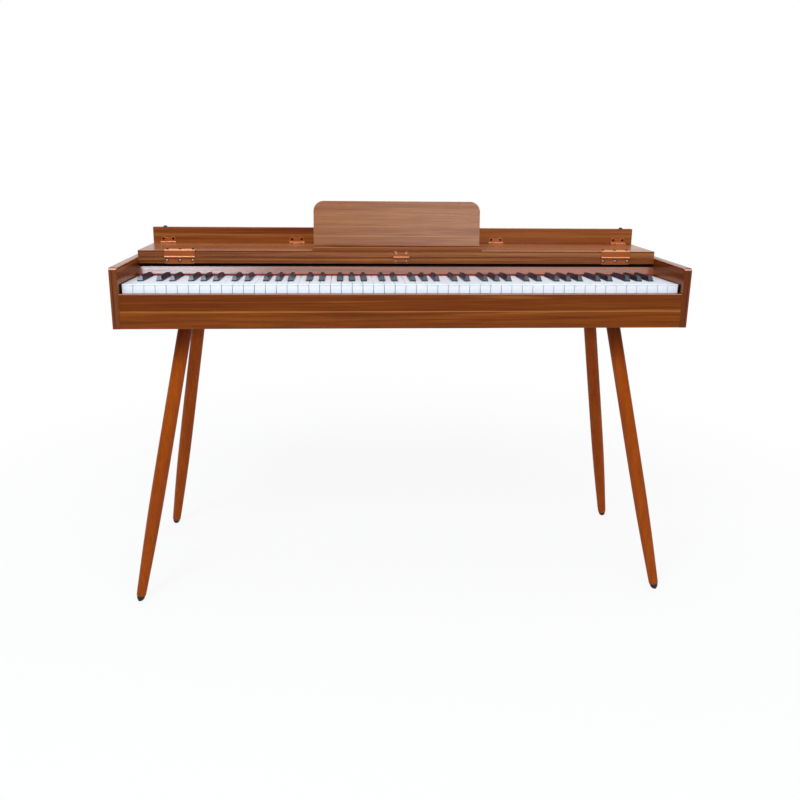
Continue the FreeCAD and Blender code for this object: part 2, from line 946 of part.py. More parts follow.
# The flap stands on the lid's far edge and hangs in front of the keys when the lid is shut.
keep(
    long_board(
        "front_flap",
        rectangle(flap_front, flap_bottom, lid_rear, flap_top),
        half_lid,
        [(flap_front, flap_top), (lid_rear, flap_top), (lid_rear, flap_bottom)],
        S["board_round"],
    ),
    "front_flap",
)
bumpers = []
for side in (-1, 1):
    bumper_x = (half_lid - S["bumper_inset"]) * side
    bumpers.append(
        cone(
            f"bumper_{side + 1}",
            (bumper_x, (flap_front + lid_rear) / 2, flap_top),
            S["bumper_radius"],
            S["bumper_radius"] - S["bumper_height"] / 4,
            S["bumper_height"],
        )
    )
keep(group("bumpers", bumpers), "flap_bumpers")


# A knuckle hinge along X: two leaves whose barrels alternate on one axis.
def barrels(name, left, width, segments, which, axis_y, axis_z, radius):
    """Every other barrel of a hinge, starting with segment number which."""
    step = width / segments
    found = []
    for number in range(which, segments, 2):
        gap = S["knuckle_gap"] / 2
        start = left + step * number + gap
        found.append(
            rod(
                f"{name}_barrel_{number}", (start, axis_y, axis_z), radius,
                step - gap * 2, ALONG_X,
            )
        )
    return found


def tabs(name, left, width, segments, which, low, extent_y, extent_z):
    """The tabs that carry a leaf's barrels."""
    step = width / segments
    found = []
    for number in range(which, segments, 2):
        gap = S["knuckle_gap"] / 2
        start = left + step * number + gap
        found.append(
            box(
                f"{name}_tab_{number}", (start, low[0], low[1]),
                (step - gap * 2, extent_y, extent_z),
            )
        )
    return found


def dome(name, start, radius, height, rotation=None):
    """The head of a screw, standing on the face that it holds."""
    return cone(name, start, radius, radius - S["screw_crown"], height, rotation)


TOWARDS_PLAYER = turned(X_AXIS, 90)
large_width = S["large_hinge_width"]
leaf_reach = S["knuckle_radius"] + S["leaf_clearance"]
lower_leaves = []
upper_leaves = []
lower_screws = []
lid_screws = []
lower_face = shelf_front - S["leaf_thick"]
for side in (-1, 1):
    tag = "left" if side < 0 else "right"
    middle = (half_lid - S["large_hinge_inset"]) * side
    left = middle - large_width / 2
    # The lower leaf is fixed to the edge of the rear top board.
    low_edge = shelf_bottom - S["leaf_margin"]
    name = f"lower_{tag}"
    plate = box(
        name + "_plate", (left, lower_face, low_edge),
        (large_width, S["leaf_thick"], hinge_z - leaf_reach - low_edge),
    )
    parts = [plate]
    parts += tabs(
        name, left, large_width, LARGE_SEGMENTS, 0,
        (lower_face, hinge_z - leaf_reach - S["leaf_clearance"]),
        S["leaf_thick"], leaf_reach + S["leaf_clearance"],
    )
    parts += barrels(
        name, left, large_width, LARGE_SEGMENTS, 0, hinge_y, hinge_z, S["knuckle_radius"],
    )
    whole = fuse(name + "_whole", parts)
    bore = rod(name + "_bore", (left, hinge_y, hinge_z), S["pin_radius"], large_width, ALONG_X)
    drilled = cut(name + "_drilled", whole, bore)
    doc.recompute()
    rounded = doc.addObject("Part::Fillet", name + "_rounded")
    rounded.Base = drilled
    corner_names = edge_names(
        drilled.Shape,
        lambda p, q: near(p.z, low_edge.number) and near(q.z, low_edge.number)
        and near(p.x, q.x),
    )
    radius = S["leaf_corner"].number
    rounded.Edges = [(int(n[len("Edge"):]), radius, radius) for n in corner_names]
    pin = rod(f"pin_{tag}", (left, hinge_y, hinge_z), S["pin_radius"], large_width, ALONG_X)
    lower_leaves += [rounded, pin]
    # The upper leaf covers the lid's edge and turns over onto its upper face.
    name = f"upper_{tag}"
    flange_top = lid_top + S["leaf_thick"]
    plate = box(
        name + "_plate", (left, lower_face, hinge_z + leaf_reach),
        (large_width, S["leaf_thick"], flange_top - hinge_z - leaf_reach),
    )
    flange = box(
        name + "_flange", (left, shelf_front, lid_top),
        (large_width, S["flange_depth"], S["leaf_thick"]),
    )
    parts = [plate, flange]
    parts += tabs(
        name, left, large_width, LARGE_SEGMENTS, 1,
        (lower_face, hinge_z), S["leaf_thick"], leaf_reach + S["leaf_clearance"],
    )
    parts += barrels(
        name, left, large_width, LARGE_SEGMENTS, 1, hinge_y, hinge_z, S["knuckle_radius"],
    )
    whole = fuse(name + "_whole", parts)
    bore = rod(
        name + "_bore", (left, hinge_y, hinge_z), S["pin_radius"] + S["pin_clearance"],
        large_width, ALONG_X,
    )
    upper_leaves.append(cut(name + "_drilled", whole, bore))
    for number in (-1, 0, 1):
        screw_x = middle + S["large_screw_spread"] * number
        lower_screws.append(
            dome(
                f"lower_screw_{tag}_{number + 1}",
                (screw_x, lower_face, shelf_top - S["large_screw_drop"]),
                S["large_screw_radius"], S["large_screw_height"], TOWARDS_PLAYER,
            )
        )
        lid_screws.append(
            dome(
                f"flange_screw_{tag}_{number + 1}",
                (screw_x, shelf_front + S["flange_depth"] / 2, flange_top),
                S["large_screw_radius"], S["large_screw_height"],
            )
        )

# The small hinge in the middle has scalloped leaves on the two edges.
centre_width = S["centre_hinge_width"]
centre_left = -centre_width / 2
centre_face = shelf_front - S["centre_leaf_thick"]
centre_reach = S["centre_knuckle_radius"] + S["leaf_clearance"]
centre_leaves = {}
for name, direction, which in (("centre_lower", -1, 0), ("centre_upper", 1, 1)):
    leaf = new_body(name + "_leaf")
    start = centre_reach * direction
    waist = (centre_reach + S["centre_leaf_height"] / 3) * direction
    end = (centre_reach + S["centre_leaf_height"]) * direction
    scallop = S["centre_scallop"]
    half = centre_width / 2
    sketch = outline(
        leaf, name + "_face", "XZ_Plane",
        [[
            (-half, start),
            (half, start),
            (half, waist),
            (half - scallop, (waist + end) / 2),
            (half - scallop * 2, end),
            (-half + scallop * 2, end),
            (-half + scallop, (waist + end) / 2),
            (-half, waist),
        ]],
    )
    pad(leaf, sketch, S["centre_leaf_thick"])
    place(leaf, y=shelf_front, z=hinge_z)
    tab_low = hinge_z - centre_reach - S["leaf_clearance"] if direction < 0 else hinge_z
    parts = [leaf]
    parts += tabs(
        name, centre_left, centre_width, SMALL_SEGMENTS, which,
        (centre_face, tab_low), S["centre_leaf_thick"], centre_reach + S["leaf_clearance"],
    )
    parts += barrels(
        name, centre_left, centre_width, SMALL_SEGMENTS, which,
        hinge_y, hinge_z, S["centre_knuckle_radius"],
    )
    centre_leaves[name] = fuse(name + "_whole", parts)
    screw_level = hinge_z + (centre_reach + S["centre_leaf_height"] / 2) * direction
    for side in (-1, 1):
        screw = dome(
            f"{name}_screw_{side + 1}",
            (S["centre_screw_spread"] / 2 * side, centre_face, screw_level),
            S["small_screw_radius"], S["small_screw_height"], TOWARDS_PLAYER,
        )
        (lower_screws if direction < 0 else lid_screws).append(screw)
lower_leaves.append(centre_leaves["centre_lower"])
upper_leaves.append(centre_leaves["centre_upper"])
keep(group("lower_leaf_group", lower_leaves), "lid_hinge_lower_leaves")
keep(group("upper_leaf_group", upper_leaves), "lid_hinge_upper_leaves")

# Four hinges in the corner between the lid and the flap.
flap_width = S["flap_hinge_width"]
flap_reach = S["flap_knuckle_radius"] + S["leaf_clearance"]
flap_lid_leaves = []
flap_leaves = []
flap_screws = []
flap_leaf_face = flap_front - S["flap_leaf_thick"]
for side in (-1, 1):
    for spot, middle in (
        ("outer", (half_lid - S["flap_hinge_outer_inset"]) * side),
        ("inner", half_lid * S["flap_hinge_inner_share"] * side),
    ):
        tag = f"{spot}_{side + 1}"
        left = middle - flap_width / 2
        name = f"flap_lid_{tag}"
        near_edge = flap_axis_y - flap_reach
        parts = [
            box(
                name + "_plate",
                (left, near_edge - S["flap_leaf_height"], lid_top),
                (flap_width, S["flap_leaf_height"], S["flap_leaf_thick"]),
            )
        ]
        parts += tabs(
            name, left, flap_width, SMALL_SEGMENTS, 0,
            (near_edge - S["leaf_clearance"], lid_top),
            flap_reach + S["leaf_clearance"], S["flap_leaf_thick"],
        )
        parts += barrels(
            name, left, flap_width, SMALL_SEGMENTS, 0,
            flap_axis_y, flap_axis_z, S["flap_knuckle_radius"],
        )
        flap_lid_leaves.append(fuse(name + "_whole", parts))
        name = f"flap_{tag}"
        near_edge = flap_axis_z + flap_reach
        parts = [
            box(
                name + "_plate",
                (left, flap_leaf_face, near_edge),
                (flap_width, S["flap_leaf_thick"], S["flap_leaf_height"]),
            )
        ]
        parts += tabs(
            name, left, flap_width, SMALL_SEGMENTS, 1,
            (flap_leaf_face, flap_axis_z), S["flap_leaf_thick"],
            flap_reach + S["leaf_clearance"],
        )
        parts += barrels(
            name, left, flap_width, SMALL_SEGMENTS, 1,
            flap_axis_y, flap_axis_z, S["flap_knuckle_radius"],
        )
        flap_leaves.append(fuse(name + "_whole", parts))
        for number in (-1, 1):
            screw_x = middle + S["flap_screw_spread"] / 2 * number
            flap_screws.append(
                dome(
                    f"flap_screw_{tag}_{number + 1}",
                    (screw_x, flap_leaf_face, near_edge + S["flap_leaf_height"] / 2),
                    S["small_screw_radius"], S["small_screw_height"], TOWARDS_PLAYER,
                )
            )
            lid_screws.append(
                dome(
                    f"flap_lid_screw_{tag}_{number + 1}",
                    (
                        screw_x,
                        flap_axis_y - flap_reach - S["flap_leaf_height"] / 2,
                        lid_top + S["flap_leaf_thick"],
                    ),
                    S["small_screw_radius"], S["small_screw_height"],
                )
            )
keep(group("flap_lid_leaf_group", flap_lid_leaves), "flap_hinge_lid_leaves")
keep(group("flap_leaf_group", flap_leaves), "flap_hinge_leaves")
keep(group("flap_screw_group", flap_screws), "flap_screws")

# The music stand leans back on two hinges let into its rear face. It is drawn upright, with
# the hinge axis at the origin of its own frame, and then leaned about that axis.
stand = new_body("music_stand")
half_stand = S["stand_width"] / 2
stand_low = S["stand_lift"] - S["stand_axis_rise"]
stand_high = stand_low + S["stand_height"]
stand_sketch = outline(
    stand, "stand_face", "XZ_Plane",
    [rectangle(-half_stand, stand_low, half_stand, stand_high)],
)
pad(stand, stand_sketch, S["stand_thick"])
soften(
    stand, "Fillet", S["stand_corner"],
    lambda p, q: near(p.x, q.x) and near(p.z, stand_high.number) and near(q.z, stand_high.number),
    "stand_corners",
)
soften(
    stand, "Chamfer", S["stand_ease"],
    lambda p, q: near(p.y, -S["stand_thick"].number) and near(q.y, -S["stand_thick"].number)
    and max(p.z, q.z) > stand_low.number + 1,
    "stand_ease",
)
rebate_depth = S["stand_leaf_thick"] + S["stand_leaf_fit"]
rebates = []
for side in (-1, 1):
    middle = S["stand_hinge_spread"] * side
    half_rebate = S["stand_leaf_width"] / 2 + S["stand_leaf_fit"]
    rebates.append(
        rectangle(
            middle - half_rebate, stand_low - S["overrun"],
            middle + half_rebate, stand_low + S["stand_leaf_height"] + S["stand_leaf_fit"],
        )
    )
pocket(stand, outline(stand, "stand_rebates", "XZ_Plane", rebates), rebate_depth, reverse=True)
stand_lean = turned(X_AXIS, -sheet.get("stand_lean_degrees"))
lean = math.radians(sheet.get("stand_lean_degrees"))
# The stand's own frame has its rear face at Y = 0, which lies behind the axis.
place(
    stand, -S["stand_shift"],
    stand_axis_y + S["stand_axis_inset"] * math.cos(lean),
    stand_axis_z - S["stand_axis_inset"] * math.sin(lean),
    stand_lean,
)
keep(stand, "music_stand")


def on_stand(thing, x, y, z, extra=None):
    """Place a piece in the stand's leaning frame, from the hinge axis."""
    rotation = stand_lean.multiply(extra) if extra else stand_lean
    place(
        thing,
        x - S["stand_shift"],
        stand_axis_y + y * math.cos(lean) + z * math.sin(lean),
        stand_axis_z - y * math.sin(lean) + z * math.cos(lean),
        rotation,
    )
    return thing


stand_width = S["stand_leaf_width"]
stand_reach = S["stand_knuckle_radius"] + S["leaf_clearance"]
stand_lid_leaves = []
stand_leaves = []
stand_screws = []
for side in (-1, 1):
    tag = side + 1
    middle = S["stand_hinge_spread"] * side
    left = middle - stand_width / 2
    name = f"stand_lid_{tag}"
    shifted = left - S["stand_shift"]
    parts = [
        box(
            name + "_plate",
            (shifted, stand_axis_y - stand_reach - S["stand_leaf_foot"], lid_top),
            (stand_width, S["stand_leaf_foot"], S["stand_leaf_thick"]),
        )
    ]
    parts += tabs(
        name, shifted, stand_width, SMALL_SEGMENTS, 0,
        (stand_axis_y - stand_reach - S["leaf_clearance"], lid_top),
        stand_reach + S["leaf_clearance"], S["stand_leaf_thick"],
    )
    parts += barrels(
        name, shifted, stand_width, SMALL_SEGMENTS, 0,
        stand_axis_y, stand_axis_z, S["stand_knuckle_radius"],
    )
    stand_lid_leaves.append(fuse(name + "_whole", parts))
    name = f"stand_leaf_{tag}"
    step = stand_width / SMALL_SEGMENTS
    leaf_y = S["stand_axis_inset"] - S["stand_leaf_thick"]
    plate = doc.addObject("Part::Box", name + "_plate")
    bind(plate, "Length", stand_width)
    bind(plate, "Width", S["stand_leaf_thick"])
    bind(plate, "Height", stand_low + S["stand_leaf_height"] - stand_reach)
    on_stand(plate, left, leaf_y, stand_reach)
    tab = doc.addObject("Part::Box", name + "_tab")
    bind(tab, "Length", step - S["knuckle_gap"])
    bind(tab, "Width", S["stand_leaf_thick"])
    bind(tab, "Height", stand_reach + S["leaf_clearance"])
    on_stand(tab, left + step + S["knuckle_gap"] / 2, leaf_y, ZERO)
    barrel = doc.addObject("Part::Cylinder", name + "_barrel")
    bind(barrel, "Radius", S["stand_knuckle_radius"])
    bind(barrel, "Height", step - S["knuckle_gap"])
    on_stand(barrel, left + step + S["knuckle_gap"] / 2, ZERO, ZERO, ALONG_X)
    stand_leaves.append(fuse(name + "_whole", [plate, tab, barrel]))
keep(group("stand_lid_leaf_group", stand_lid_leaves), "stand_hinge_lid_leaves")
keep(group("stand_leaf_group", stand_leaves), "stand_hinge_leaves")
keep(group("lid_screw_group", lid_screws), "lid_screws")

# Legs: round, swelling upwards, splayed outwards and trimmed level under their plates.
LEG_NAMES = {
    "leg_front_left": (-1, -1),
    "leg_front_right": (1, -1),
    "leg_rear_left": (-1, 1),
    "leg_rear_right": (1, 1),
}
leg_rise = S["base_level"]
leg_length = math.sqrt(
    S["splay_x"].number ** 2 + S["splay_y"].number ** 2 + leg_rise.number ** 2
)
leg_stretch = leg_length / leg_rise.number
leg_trim = S["base_level"] - S["plate_thick"]
glides = []
plates = []
cabinet_screws = list(lower_screws)
for leg_name, (side_x, side_y) in LEG_NAMES.items():
    foot = FreeCAD.Vector(foot_x.number * side_x, foot_y.number * side_y, 0)
    head = FreeCAD.Vector(
        leg_top_x.number * side_x, leg_top_y.number * side_y, leg_rise.number
    )
    aim = FreeCAD.Rotation(FreeCAD.Vector(*Z_AXIS), head - foot)
    body = new_body(leg_name + "_turned")
    high = leg_rise * leg_stretch + S["leg_overrun"]
    corners = [
        (ZERO, S["glide_height"]),
        (S["leg_end_radius"], S["glide_height"]),
        (S["leg_waist_radius"], S["leg_waist_height"]),
        (S["leg_belly_radius"], S["leg_belly_height"]),
        (S["leg_top_radius"], high),
        (ZERO, high),
    ]
    revolve(body, outline(body, leg_name + "_profile", "XZ_Plane", [corners]))
    place(body, foot_x * side_x, foot_y * side_y, ZERO, aim)
    slab = box(
        leg_name + "_slab",
        (
            (foot_x + S["plate_side"]) * -1, (foot_y + S["plate_side"]) * -1, ZERO,
        ),
        ((foot_x + S["plate_side"]) * 2, (foot_y + S["plate_side"]) * 2, leg_trim),
    )
    leg = doc.addObject("Part::Common", leg_name + "_trimmed")
    leg.Base = body
    leg.Tool = slab
    keep(leg, leg_name)
    glide_body = new_body(leg_name + "_glide")
    glide_corners = [
        (ZERO, -S["overrun"]),
        (S["glide_foot_radius"], -S["overrun"]),
        (S["glide_foot_radius"], ZERO),
        (S["glide_mid_radius"], S["glide_height"] / 3),
        (S["glide_top_radius"], S["glide_height"]),
        (ZERO, S["glide_height"]),
    ]
    revolve(glide_body, outline(glide_body, leg_name + "_glide_profile", "XZ_Plane", [glide_corners]))
    place(glide_body, foot_x * side_x, foot_y * side_y, ZERO, aim)
    glide = doc.addObject("Part::Common", leg_name + "_glide_flat")
    glide.Base = glide_body
    glide.Tool = slab
    glides.append(glide)
    plate_body = new_body(leg_name + "_plate")
    half_plate = S["plate_side"] / 2
    pad(
        plate_body,
        outline(
            plate_body, leg_name + "_plate_face", "XY_Plane",
            [rectangle(-half_plate, -half_plate, half_plate, half_plate)],
        ),
        S["plate_thick"],
    )
    soften(
        plate_body, "Fillet", S["plate_corner"],
        lambda p, q: near(p.x, q.x) and near(p.y, q.y),
        leg_name + "_plate_corners",
    )
    place(plate_body, leg_top_x * side_x, leg_top_y * side_y, leg_trim)
    plates.append(plate_body)
    hole = half_plate - S["plate_screw_inset"]
    for corner_x in (-1, 1):
        for corner_y in (-1, 1):
            cabinet_screws.append(
                dome(
                    f"{leg_name}_screw_{corner_x + 1}_{corner_y + 1}",
                    (
                        leg_top_x * side_x + hole * corner_x,
                        leg_top_y * side_y + hole * corner_y,
                        leg_trim,
                    ),
                    S["plate_screw_radius"], S["plate_screw_height"], turned(X_AXIS, 180),
                )
            )
keep(group("glide_group", glides), "foot_glides")
keep(group("plate_group", plates), "leg_plates")
keep(group("cabinet_screw_group", cabinet_screws), "cabinet_screws")

# Loudspeakers face down through the bottom board, each behind a slotted grille.
speakers = []
grilles = []
for side in (-1, 1):
    tag = "left" if side < 0 else "right"
    speaker = new_body(f"speaker_{tag}")
    wall = S["speaker_cone_wall"]
    basket_top = S["speaker_flange_thick"] + S["speaker_basket"]
    profile = [
        (S["speaker_hole"], ZERO),
        (S["speaker_flange"], ZERO),
        (S["speaker_flange"], S["speaker_flange_thick"]),
        (S["speaker_hole"], S["speaker_flange_thick"]),
        (S["speaker_basket_radius"], basket_top),
        (S["speaker_magnet_radius"], basket_top),
        (S["speaker_magnet_radius"], basket_top + S["speaker_magnet"]),
        (ZERO, basket_top + S["speaker_magnet"]),
        (ZERO, basket_top - wall),
        (S["speaker_basket_radius"] - wall * 2, basket_top - wall),
        (S["speaker_hole"] - wall, ZERO),
    ]
    revolve(speaker, outline(speaker, f"speaker_{tag}_profile", "XZ_Plane", [profile]))
    place(speaker, speaker_x * side, speaker_y, floor_top)
    speakers.append(speaker)
    grille = new_body(f"grille_{tag}")
    pad(
        grille,
        discs(grille, f"grille_{tag}_disc", "XY_Plane", [(ZERO, ZERO, S["grille_radius"])]),
        S["grille_thick"],
    )
    slot_half = S["grille_slot_width"] / 2
    slot = pocket(
        grille,
        outline(
            grille, f"grille_{tag}_slot", "XY_Plane",
            [rectangle(
                S["grille_slot_start"], -slot_half,
                S["grille_slot_start"] + S["grille_slot_length"], slot_half,
            )],
        ),
        S["grille_thick"] * 2,
        midplane=False, reverse=True,
    )
    spread = grille.newObject("PartDesign::PolarPattern", f"grille_{tag}_slots")
    spread.Originals = [slot]
    spread.Axis = (origin_plane(grille, "Z_Axis"), [""])
    spread.Angle = 360.0
    spread.Occurrences = GRILLE_SLOTS
    grille.Tip = spread
    place(grille, speaker_x * side, speaker_y, S["base_level"] - S["grille_thick"])
    grilles.append(grille)
keep(group("speaker_group", speakers), "speakers")
keep(group("grille_group", grilles), "speaker_grilles")

# The main board stands on four posts behind the keys.
board_left = -main_board_x - S["main_board_width"] / 2
board_front = main_board_y - S["main_board_depth"] / 2
board_level = floor_top + S["standoff_height"]
board_parts = [
    box(
        "main_plate", (board_left, board_front, board_level),
        (S["main_board_width"], S["main_board_depth"], S["main_board_thick"]),
    ),
    box(
        "main_chip",
        (
            -main_board_x - S["chip_side"] / 2,
            main_board_y - S["chip_side"] / 2,
            board_level + S["main_board_thick"],
        ),
        (S["chip_side"], S["chip_side"], S["chip_height"]),
    ),
]
for number_x in (0, 1):
    for number_y in (0, 1):
        inner_x = S["main_board_width"] - S["standoff_inset"] * 2
        inner_y = S["main_board_depth"] - S["standoff_inset"] * 2
        board_parts.append(
            rod(
                f"standoff_{number_x}_{number_y}",
                (
                    board_left + S["standoff_inset"] + inner_x * number_x,
                    board_front + S["standoff_inset"] + inner_y * number_y,
                    floor_top,
                ),
                S["standoff_radius"], S["standoff_height"],
            )
        )
keep(fuse("main_board_whole", board_parts), "main_circuit_board")

# The socket panel closes the window in the back board from inside.
sockets = new_body("socket_panel")
half_plate_x = S["socket_window_width"] / 2 + S["socket_plate_rim"]
half_plate_z = S["socket_window_height"] / 2 + S["socket_plate_rim"]
pad(
    sockets,
    outline(
        sockets, "socket_plate", "XZ_Plane",
        [rectangle(-half_plate_x, -half_plate_z, half_plate_x, half_plate_z)],
    ),
    S["socket_plate_thick"],
)
half_jack = S["jack_body"] / 2
jack_places = [S["jack_pitch"] * number for number in (-2, -1)]
inlet_place = S["jack_pitch"]
port_place = S["jack_pitch"] * 2
bodies_sketch = outline(
    sockets, "jack_bodies", "XZ_Plane",
    [
        rectangle(spot - half_jack, -half_jack, spot + half_jack, half_jack)
        for spot in jack_places + [inlet_place, port_place]
    ],
)
pad(sockets, bodies_sketch, S["socket_plate_thick"] + S["jack_depth"], name="JackBodies")
jack_holes = discs(
    sockets, "jack_holes", "XZ_Plane",
    [(spot, ZERO, S["jack_radius"]) for spot in jack_places],
)
pocket(sockets, jack_holes, S["jack_depth"], reverse=True, name="JackBores")
inlet_hole = discs(
    sockets, "inlet_hole", "XZ_Plane",
    [(inlet_place, ZERO, S["inlet_radius"])],
)
pocket(sockets, inlet_hole, S["jack_depth"], reverse=True, name="InletBore")
port_hole = outline(
    sockets, "port_hole", "XZ_Plane",
    [rectangle(
        port_place - S["port_width"] / 2, -S["port_height"] / 2,
        port_place + S["port_width"] / 2, S["port_height"] / 2,
    )],
)
pocket(sockets, port_hole, S["jack_depth"] / 2, reverse=True, name="PortHole")
place(sockets, -socket_x, back_inner, socket_level)
keep(sockets, "socket_panel")

doc.recompute()
for thing in doc.Objects:
    if "Invalid" in thing.State or "Error" in thing.State:
        raise ValueError(f"{thing.Name}: {thing.State}")
labels = [thing.Label for thing in nodes]
if len(set(labels)) != len(labels):
    raise ValueError("two sub-parts share a name")
for thing in nodes:
    shape = thing.Shape
    if shape.isNull() or not shape.isValid() or not shape.Solids:
        raise ValueError(f"{thing.Label}: no valid solid")
for thing in nodes:
    thing.Shape.exportStep(os.path.join("parts", thing.Label + ".step"))
print(len(nodes), "sub-parts")
for name, axis_y, axis_z in (
    ("lid hinge", hinge_y, hinge_z),
    ("flap hinge", flap_axis_y, flap_axis_z),
    ("stand hinge", stand_axis_y, stand_axis_z),
    ("key pivot", pivot_y, pivot_z),
):
    print(name, "axis at", round(axis_y.number, 4), round(axis_z.number, 4))
print("key lever", round(key_lever.number, 4))
print("jacks at", [round(p.number - socket_x.number, 4) for p in jack_places])
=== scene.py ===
"""Digital piano with a fold-back lid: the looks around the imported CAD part.

Metres, +Z up, +X to the player's right, +Y away from the player. The origin is on the floor
between the four feet. Levels on the cabinet are counted from BASE, its underside.
"""

import logging
import math
from dataclasses import dataclass, field
from enum import Enum

import bmesh
import bpy
import numpy as np
from bpy.types import Material, Node, NodeSocket, NodeTree, bpy_prop_collection
from mathutils import Matrix

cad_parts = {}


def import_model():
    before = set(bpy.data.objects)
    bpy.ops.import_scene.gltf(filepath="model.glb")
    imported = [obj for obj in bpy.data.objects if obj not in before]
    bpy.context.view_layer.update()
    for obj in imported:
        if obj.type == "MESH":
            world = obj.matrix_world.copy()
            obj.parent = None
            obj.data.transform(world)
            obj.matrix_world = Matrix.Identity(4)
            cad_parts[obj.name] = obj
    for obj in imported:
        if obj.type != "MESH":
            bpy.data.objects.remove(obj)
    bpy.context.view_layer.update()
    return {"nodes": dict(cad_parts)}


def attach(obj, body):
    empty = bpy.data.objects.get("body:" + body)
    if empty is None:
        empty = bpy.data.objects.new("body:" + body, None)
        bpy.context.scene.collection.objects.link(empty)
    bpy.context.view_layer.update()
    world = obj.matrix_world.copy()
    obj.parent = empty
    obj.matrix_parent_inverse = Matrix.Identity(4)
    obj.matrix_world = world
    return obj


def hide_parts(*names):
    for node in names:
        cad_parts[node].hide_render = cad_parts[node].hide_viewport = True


# A place or a step in metres, an 8-bit display colour, and a line of points in a plane.
Point = tuple[float, float, float]
Colour = tuple[int, int, int]
Profile = tuple[tuple[float, float], ...]

LOG = logging.getLogger("piano")
# The level of the cabinet's underside above the floor.
BASE = 0.640
# The level of the open lid's upper face.
LID_TOP = BASE + 0.1495
# How far each leg plate's middle is from the piano's middle, and the plates' underside.
LEG_HEAD = (0.493, 0.09)
PLATE_LEVEL = BASE - 0.003
# The play between a hinge's barrels and the leaf beside them.
LEAF_SLACK = 0.00035
# Points nearer together than this are one point.
MERGE_DISTANCE = 1e-7
# An edge that turns by more than this stays hard.
SMOOTH_DEGREES = 35.0
# The weight of large faces in the shading at their corners, from 1 to 100.
FLAT_WEIGHT = 90
# The Mix node's two inputs and its output, when it mixes vectors and when it mixes colours.
MIX_VECTORS = (4, 5, 1)
MIX_COLOURS = (6, 7, 2)


def linear(red: int, green: int, blue: int) -> tuple[float, float, float, float]:
    """Turn an 8-bit display colour into the linear colour that shaders take.

    A channel c from 0 to 1 becomes c / 12.92 up to 0.04045, and above it
    (c + 0.055) / 1.055 to the power 2.4.

    Args:
        red: red from 0 to 255.
        green: green from 0 to 255.
        blue: blue from 0 to 255.

    Returns:
        The linear colour with an alpha of 1.
    """
    share = np.array([red, green, blue]) / 255.0
    low = share / 12.92
    high = ((share + 0.055) / 1.055) ** 2.4
    value = np.where(share <= 0.04045, low, high)
    return float(value[0]), float(value[1]), float(value[2]), 1.0


# Surfaces.


@dataclass
class Shell:
    """The points and faces of one or more closed surfaces."""

    points: np.ndarray
    faces: list[list[int]]

    def moved(self, matrix: Matrix) -> "Shell":
        """Carry every point by a 4 by 4 matrix: p' = M p."""
        table = np.array(matrix)
        return Shell(self.points @ table[:3, :3].T + table[:3, 3], self.faces)

    def shifted(self, x: float, y: float, z: float) -> "Shell":
        """Move every point by the same step."""
        return Shell(self.points + np.array([x, y, z]), self.faces)


def joined(shells: list[Shell]) -> Shell:
    """Put several shells into one, each with its faces renumbered.

    Args:
        shells: the shells, in order.

    Returns:
        One shell with all their points and faces.
    """
    points = np.concatenate([shell.points for shell in shells])
    faces: list[list[int]] = []
    start = 0
    for shell in shells:
        faces += [[start + i for i in face] for face in shell.faces]
        start += len(shell.points)
    return Shell(points, faces)


def band_faces(rows: int, columns: int) -> list[list[int]]:
    """The quads between successive closed rings of a grid.

    Args:
        rows: the number of rings.
        columns: the number of points in each ring.

    Returns:
        Quads that join each point to the next one round and to the next ring.
    """
    row, column = np.meshgrid(np.arange(rows - 1), np.arange(columns), indexing="ij")
    after = (column + 1) % columns
    quads = np.stack(
        [
            row * columns + column,
            row * columns + after,
            (row + 1) * columns + after,
            (row + 1) * columns + column,
        ],
        axis=-1,
    )
    return quads.reshape(-1, 4).tolist()


def tube(points: np.ndarray, rings: int, count: int) -> Shell:
    """Join rings of points one after another, with a flat face over each end.

    Args:
        points: all the points, ring by ring.
        rings: the number of rings.
        count: the number of points in each ring.

    Returns:
        The closed surface.
    """
    last = (rings - 1) * count
    ends = [list(range(count))[::-1], list(range(last, last + count))]
    return Shell(points, band_faces(rings, count) + ends)


def placed_axes(axes: tuple[np.ndarray, ...], place: Point) -> Matrix:
    """The matrix that puts X, Y and Z on three axes from a place.

    Args:
        axes: three unit vectors at right angles.
        place: where the origin goes.

    Returns:
        The matrix, with the axes as its columns.
    """
    table = np.identity(4)
    table[:3, :3] = np.column_stack(axes)
    table[:3, 3] = place
    return Matrix(table.tolist())


def lathe(profile: list[tuple[float, float]], segments: int = 32) -> Shell:
    """Turn a profile about Z: (r, z) goes to (r cos a, r sin a, z), closed by flat ends.

    Args:
        profile: radius and height of each ring, from one end to the other.
        segments: how many points each ring has.

    Returns:
        The closed surface.
    """
    table = np.array(profile)
    angle = np.arange(segments) * (2.0 * math.pi / segments)
    radius, height = table[:, :1], table[:, 1:]
    points = np.stack(
        [
            radius * np.cos(angle),
            radius * np.sin(angle),
            np.broadcast_to(height, (len(table), segments)),
        ],
        axis=-1,
    ).reshape(-1, 3)
    return tube(points, len(table), segments)


def hoop(section: list[tuple[float, float]], segments: int = 32) -> Shell:
    """Turn a closed section about Z: a ring such as a washer or a nut's rim.

    Args:
        section: radius and height of the section's corners, in order round it.
        segments: how many times the section stands round the axis.

    Returns:
        The closed ring.
    """
    table = np.array(section)
    angle = (np.arange(segments + 1) % segments) * (2.0 * math.pi / segments)
    points = np.stack(
        [
            table[:, 0] * np.cos(angle)[:-1, None],
            table[:, 0] * np.sin(angle)[:-1, None],
            np.broadcast_to(table[:, 1], (segments, len(table))),
        ],
        axis=-1,
    ).reshape(-1, 3)
    count = len(table)
    faces = band_faces(segments + 1, count)
    wrapped = [[i % (segments * count) for i in face] for face in faces]
    return Shell(points, wrapped)


